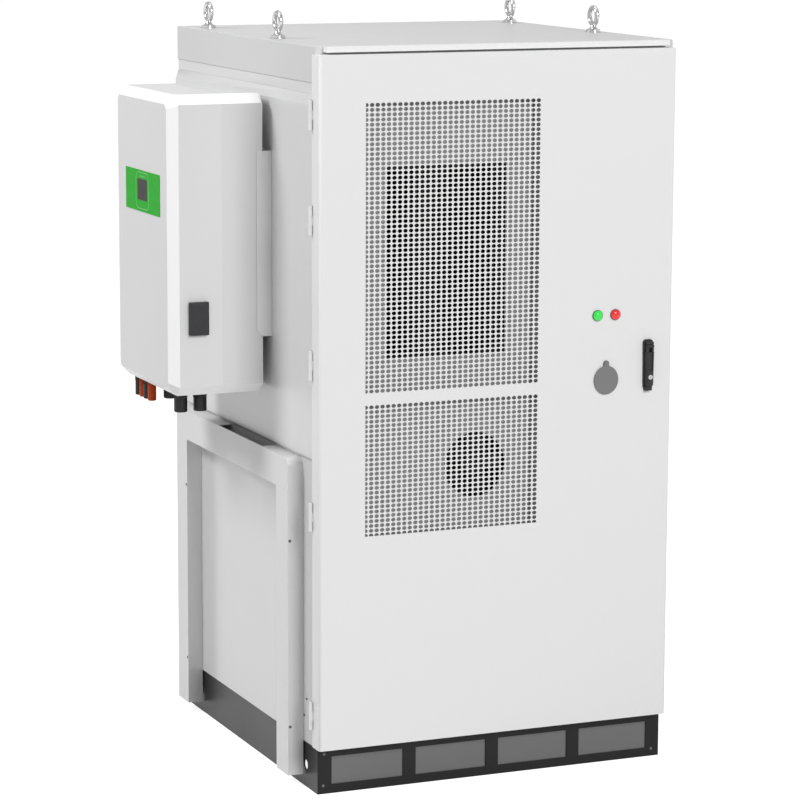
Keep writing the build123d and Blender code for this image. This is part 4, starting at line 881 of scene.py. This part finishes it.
@dataclass
class CableDuct(Assembly):
    """Folded duct on the left wall with its screws, whose heights are given for each drop."""

    post_depth: float = 96 * MM
    post_inset: float = 7.0 * MM
    front_heights: tuple[float, float] = (748 * MM, 184 * MM)
    rear_heights: tuple[float, float] = (753 * MM, 185 * MM)
    screws: CrossScrews = field(default_factory=CrossScrews)

    def dress(self) -> None:
        """Gives the duct its finish."""
        dress(["duct_beam", "duct_posts"], DUCT_PAINT, 0.8 * MM)

    def build(self) -> None:
        """Adds the screws in the front drop's front face and in the rear drop's left face."""
        low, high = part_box("duct_posts")
        rear_front = high.y - self.post_depth
        places = [(Vector((low.x + self.post_inset, low.y, z)), Side.FRONT) for z in self.front_heights]
        places += [(Vector((low.x, rear_front + self.post_inset, z)), Side.LEFT) for z in self.rear_heights]
        self.screws.build("duct_screws", places, "cabinet")


@dataclass
class Inverter(Assembly):
    """Side mounted inverter with its panel, lights, switch and glands.

    The printed outline's front and rear edges are places along Y, and its low and high edges along Z.
    """

    print_front: float = -73 * MM
    print_rear: float = 47 * MM
    print_low: float = 1690 * MM
    print_high: float = 1800 * MM
    print_corner: float = 26 * MM
    print_line: float = 1.2 * MM
    print_steps: int = 10
    lift: float = 0.25 * MM
    lamp_count: int = 4
    lamp_facets: int = 12
    lamp_radius: float = 2.2 * MM
    lamp_pitch: float = 13.0 * MM
    lamp_lift: float = 8.0 * MM

    def dress(self) -> None:
        """Gives the castings, bracket and fittings their finishes."""
        dress(["inverter_cover"], CAST_COAT)
        # The case takes the darker copy of the coat: painted shade
        dress(["inverter_case"], CAST_COAT_SHADED)
        dress(["wall_bracket"], DUCT_PAINT, 0.7 * MM)
        dress(["inverter_panel"], GREEN_SHEET, 0.4 * MM)
        dress(["inverter_display"], DISPLAY, 0.3 * MM)
        dress(["switch_box"], GREY_PLASTIC, 1.2 * MM)
        dress(["cable_glands", "black_terminals"], BLACK_PLASTIC)
        dress(["orange_terminals"], ORANGE_PLASTIC)

    def rounded(self, inset: float) -> list[tuple[float, float]]:
        """Points of the printed outline in Y and Z, drawn in by a distance.

        Args:
            inset: distance inward from the outline.

        Returns:
            The closed outline's points.
        """
        radius = self.print_corner - inset
        rear = self.print_rear - self.print_corner
        front = self.print_front + self.print_corner
        top = self.print_high - self.print_corner
        foot = self.print_low + self.print_corner
        points = []
        for quarter, (y, z) in enumerate(((rear, top), (front, top), (front, foot), (rear, foot))):
            for i in range(self.print_steps):
                angle = math.pi / 2 * (quarter + i / (self.print_steps - 1))
                points.append((y + radius * math.cos(angle), z + radius * math.sin(angle)))
        return points

    def outline(self, face: float) -> None:
        """Adds the pale rounded line printed round the display.

        Args:
            face: X place of the panel's face.
        """
        shape = bmesh.new()
        loops = []
        section = ((0.0, 0.0), (0.0, self.lift), (self.print_line, self.lift), (self.print_line, 0.0))
        for inset, out in section:
            loops.append([shape.verts.new((face - out, y, z)) for y, z in self.rounded(inset)])
        for first, second in zip(loops, loops[1:] + loops[:1]):
            for i in range(len(first)):
                j = (i + 1) % len(first)
                shape.faces.new((first[i], first[j], second[j], second[i]))
        mesh_piece("panel_outline", shape, PALE_PRINT, "cabinet")

    def lights(self, face: float) -> None:
        """Adds the row of small indicator lights over the display.

        Args:
            face: X place of the panel's face.
        """
        low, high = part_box("inverter_display")
        shape = bmesh.new()
        middle = (low.y + high.y) / 2
        profile = [(self.lamp_radius * out, self.lift * up) for out, up in LIGHT_DOME]
        for i in range(self.lamp_count):
            y = middle + (i - (self.lamp_count - 1) / 2) * self.lamp_pitch
            at = facing(Vector((face, y, high.z + self.lamp_lift)), Side.LEFT)
            revolve(shape, profile, at, self.lamp_facets)
        mesh_piece("indicator_lights", shape, PALE_PRINT, "cabinet")

    def build(self) -> None:
        """Adds the printed outline and the indicator lights of the panel."""
        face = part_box("inverter_panel")[0].x
        self.outline(face)
        self.lights(face)


@dataclass
class Door(Assembly):
    """Door with its grilles, lamps, port, handle and lock."""

    def dress(self) -> None:
        """Gives the door's parts their finishes."""
        dress(["door_skin"], DOOR_PAINT, 0.6 * MM)
        dress(["hinge_knuckles"], DOOR_PAINT)
        dress(["door_frame", "lock_case", "rod_guides"], ZINC)
        dress(["upper_lock_rod", "lower_lock_rod"], ZINC)
        dress(["lamp_bezels"], DARK_PLASTIC)
        dress(["green_lens"], GREEN_LAMP)
        dress(["red_lens"], RED_LAMP)
        dress(["port_collar", "port_cover"], PORT_COAT)
        dress(["handle_base", "handle_hub", "handle_lever"], GREY_PLASTIC)
        dress(["key_cylinder"], ZINC)

    def build(self) -> None:
        """Adds the perforated sheets in both windows."""
        PerforatedPanel("upper_grille").build()
        PerforatedPanel("lower_grille").build()


@dataclass
class DoorCooler(Assembly):
    """Air conditioner behind the grilles."""

    def dress(self) -> None:
        """Gives the cooler's parts their finishes."""
        # The housing is black behind its front plate: painted shade
        dress(["cooler_housing"], COOLER_COAT, 0.6 * MM)
        # Near-black fins: painted shade behind the grilles
        dress(["cooler_coils"], FINS_PAINTED_SHADE)
        dress(["compressor"], BLACK_PAINT)
        dress(["condenser_fan", "circulation_fan"], BLACK_PLASTIC)


@dataclass(frozen=True)
class SoftLamp:
    """Square area lamp that faces a point; size is its side in metres and power is in watts."""

    name: str
    place: tuple[float, float, float]
    aim: tuple[float, float, float]
    size: float
    power: float

    def build(self) -> None:
        """Adds the lamp to the scene."""
        light = bpy.data.lights.new(self.name, "AREA")
        light.size = self.size
        light.energy = self.power
        lamp = bpy.data.objects.new(self.name, light)
        lamp.location = self.place
        lamp.rotation_mode = "QUATERNION"
        lamp.rotation_quaternion = (Vector(self.aim) - Vector(self.place)).to_track_quat("-Z", "Y")
        bpy.context.scene.collection.objects.link(lamp)


# Key from the front above, fill from the upper left and a soft top light
KEY_LAMP = SoftLamp("key", place=(1.2, -14.0, 7.5), aim=(0.0, -0.6, 1.1), size=5.0, power=1200.0)
FILL_LAMP = SoftLamp("fill", place=(-5.0, 0.8, 5.8), aim=(-0.8, 0.0, 1.5), size=2.0, power=230.0)
TOP_LAMP = SoftLamp("top", place=(0.0, 0.5, 7.0), aim=(0.0, 0.0, 2.2), size=4.0, power=50.0)


@dataclass
class Studio:
    """Pale floor, soft lights, world and camera."""

    floor_grey: float = 0.60
    floor_glow: float = 0.87
    world_level: float = 0.27
    mirrored_level: float = 0.68
    reach: float = 60.0
    camera_place: tuple[float, float, float] = (-3.89434, -9.06220, 2.73006)
    camera_azimuth: float = -22.978
    camera_elevation: float = 9.652
    camera_roll: float = 0.2265
    focal_pixels: float = 3189.67
    frame_pixels: float = 800.0
    sensor_width: float = 36.0
    view_depth: float = 200.0
    lamps: tuple[SoftLamp, ...] = (KEY_LAMP, FILL_LAMP, TOP_LAMP)

    def floor_material(self) -> bpy.types.Material:
        """Pale floor that reads white to the camera and keeps the shadow.

        Returns:
            The material.
        """
        material = bpy.data.materials.new("studio_floor")
        material.use_nodes = True
        tree = material.node_tree
        tree.nodes.clear()
        desk = NodeDesk(tree)
        matt = desk.add("ShaderNodeBsdfDiffuse", Color=(self.floor_grey,) * 3 + (1.0,))
        glow = desk.add("ShaderNodeEmission", Strength=self.floor_glow)
        path = desk.add("ShaderNodeLightPath")
        seen = desk.maths("MAXIMUM", path.outputs["Is Camera Ray"], path.outputs["Is Glossy Ray"])
        gate = desk.add("ShaderNodeMixShader")
        none = desk.add("ShaderNodeEmission", Strength=0.0)
        desk.link(seen, gate.inputs["Fac"])
        desk.link(none.outputs[0], gate.inputs[1])
        desk.link(glow.outputs[0], gate.inputs[2])
        both = desk.add("ShaderNodeAddShader")
        desk.link(matt.outputs[0], both.inputs[0])
        desk.link(gate.outputs[0], both.inputs[1])
        out = desk.add("ShaderNodeOutputMaterial")
        desk.link(both.outputs[0], out.inputs["Surface"])
        return material

    def floor(self) -> None:
        """Builds the level floor."""
        mesh = bpy.data.meshes.new("studio_floor")
        corners = [(x * self.reach, y * self.reach, 0.0) for x, y in ((-1, -1), (1, -1), (1, 1), (-1, 1))]
        mesh.from_pydata(corners, [], [(0, 1, 2, 3)])
        mesh.materials.append(self.floor_material())
        floor = bpy.data.objects.new("studio_floor", mesh)
        bpy.context.scene.collection.objects.link(floor)

    def world(self) -> None:
        """Even pale world: white to the camera, bright in reflections and dimmer as a light."""
        world = bpy.data.worlds.new("studio_world")
        bpy.context.scene.world = world
        world.use_nodes = True
        desk = NodeDesk(world.node_tree)
        shade = world.node_tree.nodes["Background"]
        shade.inputs["Color"].default_value = (1.0, 1.0, 1.0, 1.0)
        path = desk.add("ShaderNodeLightPath")
        seen = desk.maths("MAXIMUM", path.outputs["Is Camera Ray"], path.outputs["Is Transmission Ray"])
        extra = desk.maths("MULTIPLY", seen, 1.0 - self.world_level)
        more = self.mirrored_level - self.world_level
        mirrored = desk.maths("MULTIPLY", path.outputs["Is Glossy Ray"], more)
        added = desk.maths("ADD", extra, mirrored)
        desk.link(desk.maths("ADD", added, self.world_level), shade.inputs["Strength"])

    def camera(self) -> None:
        """Sets the camera at the photograph's viewing angle."""
        turn = math.radians(self.camera_azimuth)
        rise = math.radians(self.camera_elevation)
        back = Vector((math.sin(turn) * math.cos(rise), -math.cos(turn) * math.cos(rise), math.sin(rise)))
        side = Vector((0.0, 0.0, 1.0)).cross(back).normalized()
        up = back.cross(side)
        roll = math.radians(self.camera_roll)
        right = side * math.cos(roll) + up * math.sin(roll)
        top = up * math.cos(roll) - side * math.sin(roll)
        data = bpy.data.cameras.new("camera")
        data.sensor_width = self.sensor_width
        data.lens = self.focal_pixels / self.frame_pixels * data.sensor_width
        data.clip_end = self.view_depth
        camera = bpy.data.objects.new("camera", data)
        axes = Matrix((right, top, back)).transposed().to_4x4()
        camera.matrix_world = Matrix.Translation(self.camera_place) @ axes
        bpy.context.scene.collection.objects.link(camera)
        bpy.context.scene.camera = camera

    def build(self) -> None:
        """Builds the whole studio."""
        self.camera()
        self.floor()
        self.world()
        for lamp in self.lamps:
            lamp.build()
        bpy.context.scene.view_settings.view_transform = "Standard"


def main() -> None:
    """Builds the studio, dresses the frame and adds the small fittings."""
    logging.basicConfig(level=logging.INFO, format="%(message)s")
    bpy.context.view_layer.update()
    Studio().build()
    assemblies: list[Assembly] = [Plinth(), CabinetShell(), BatteryBay(), CableDuct(), Inverter(), Door(),
                                  DoorCooler()]
    for assembly in assemblies:
        assembly.dress()
        assembly.build()
        LOG.info("%s done", type(assembly).__name__)


if __name__ == "__main__":
    main()
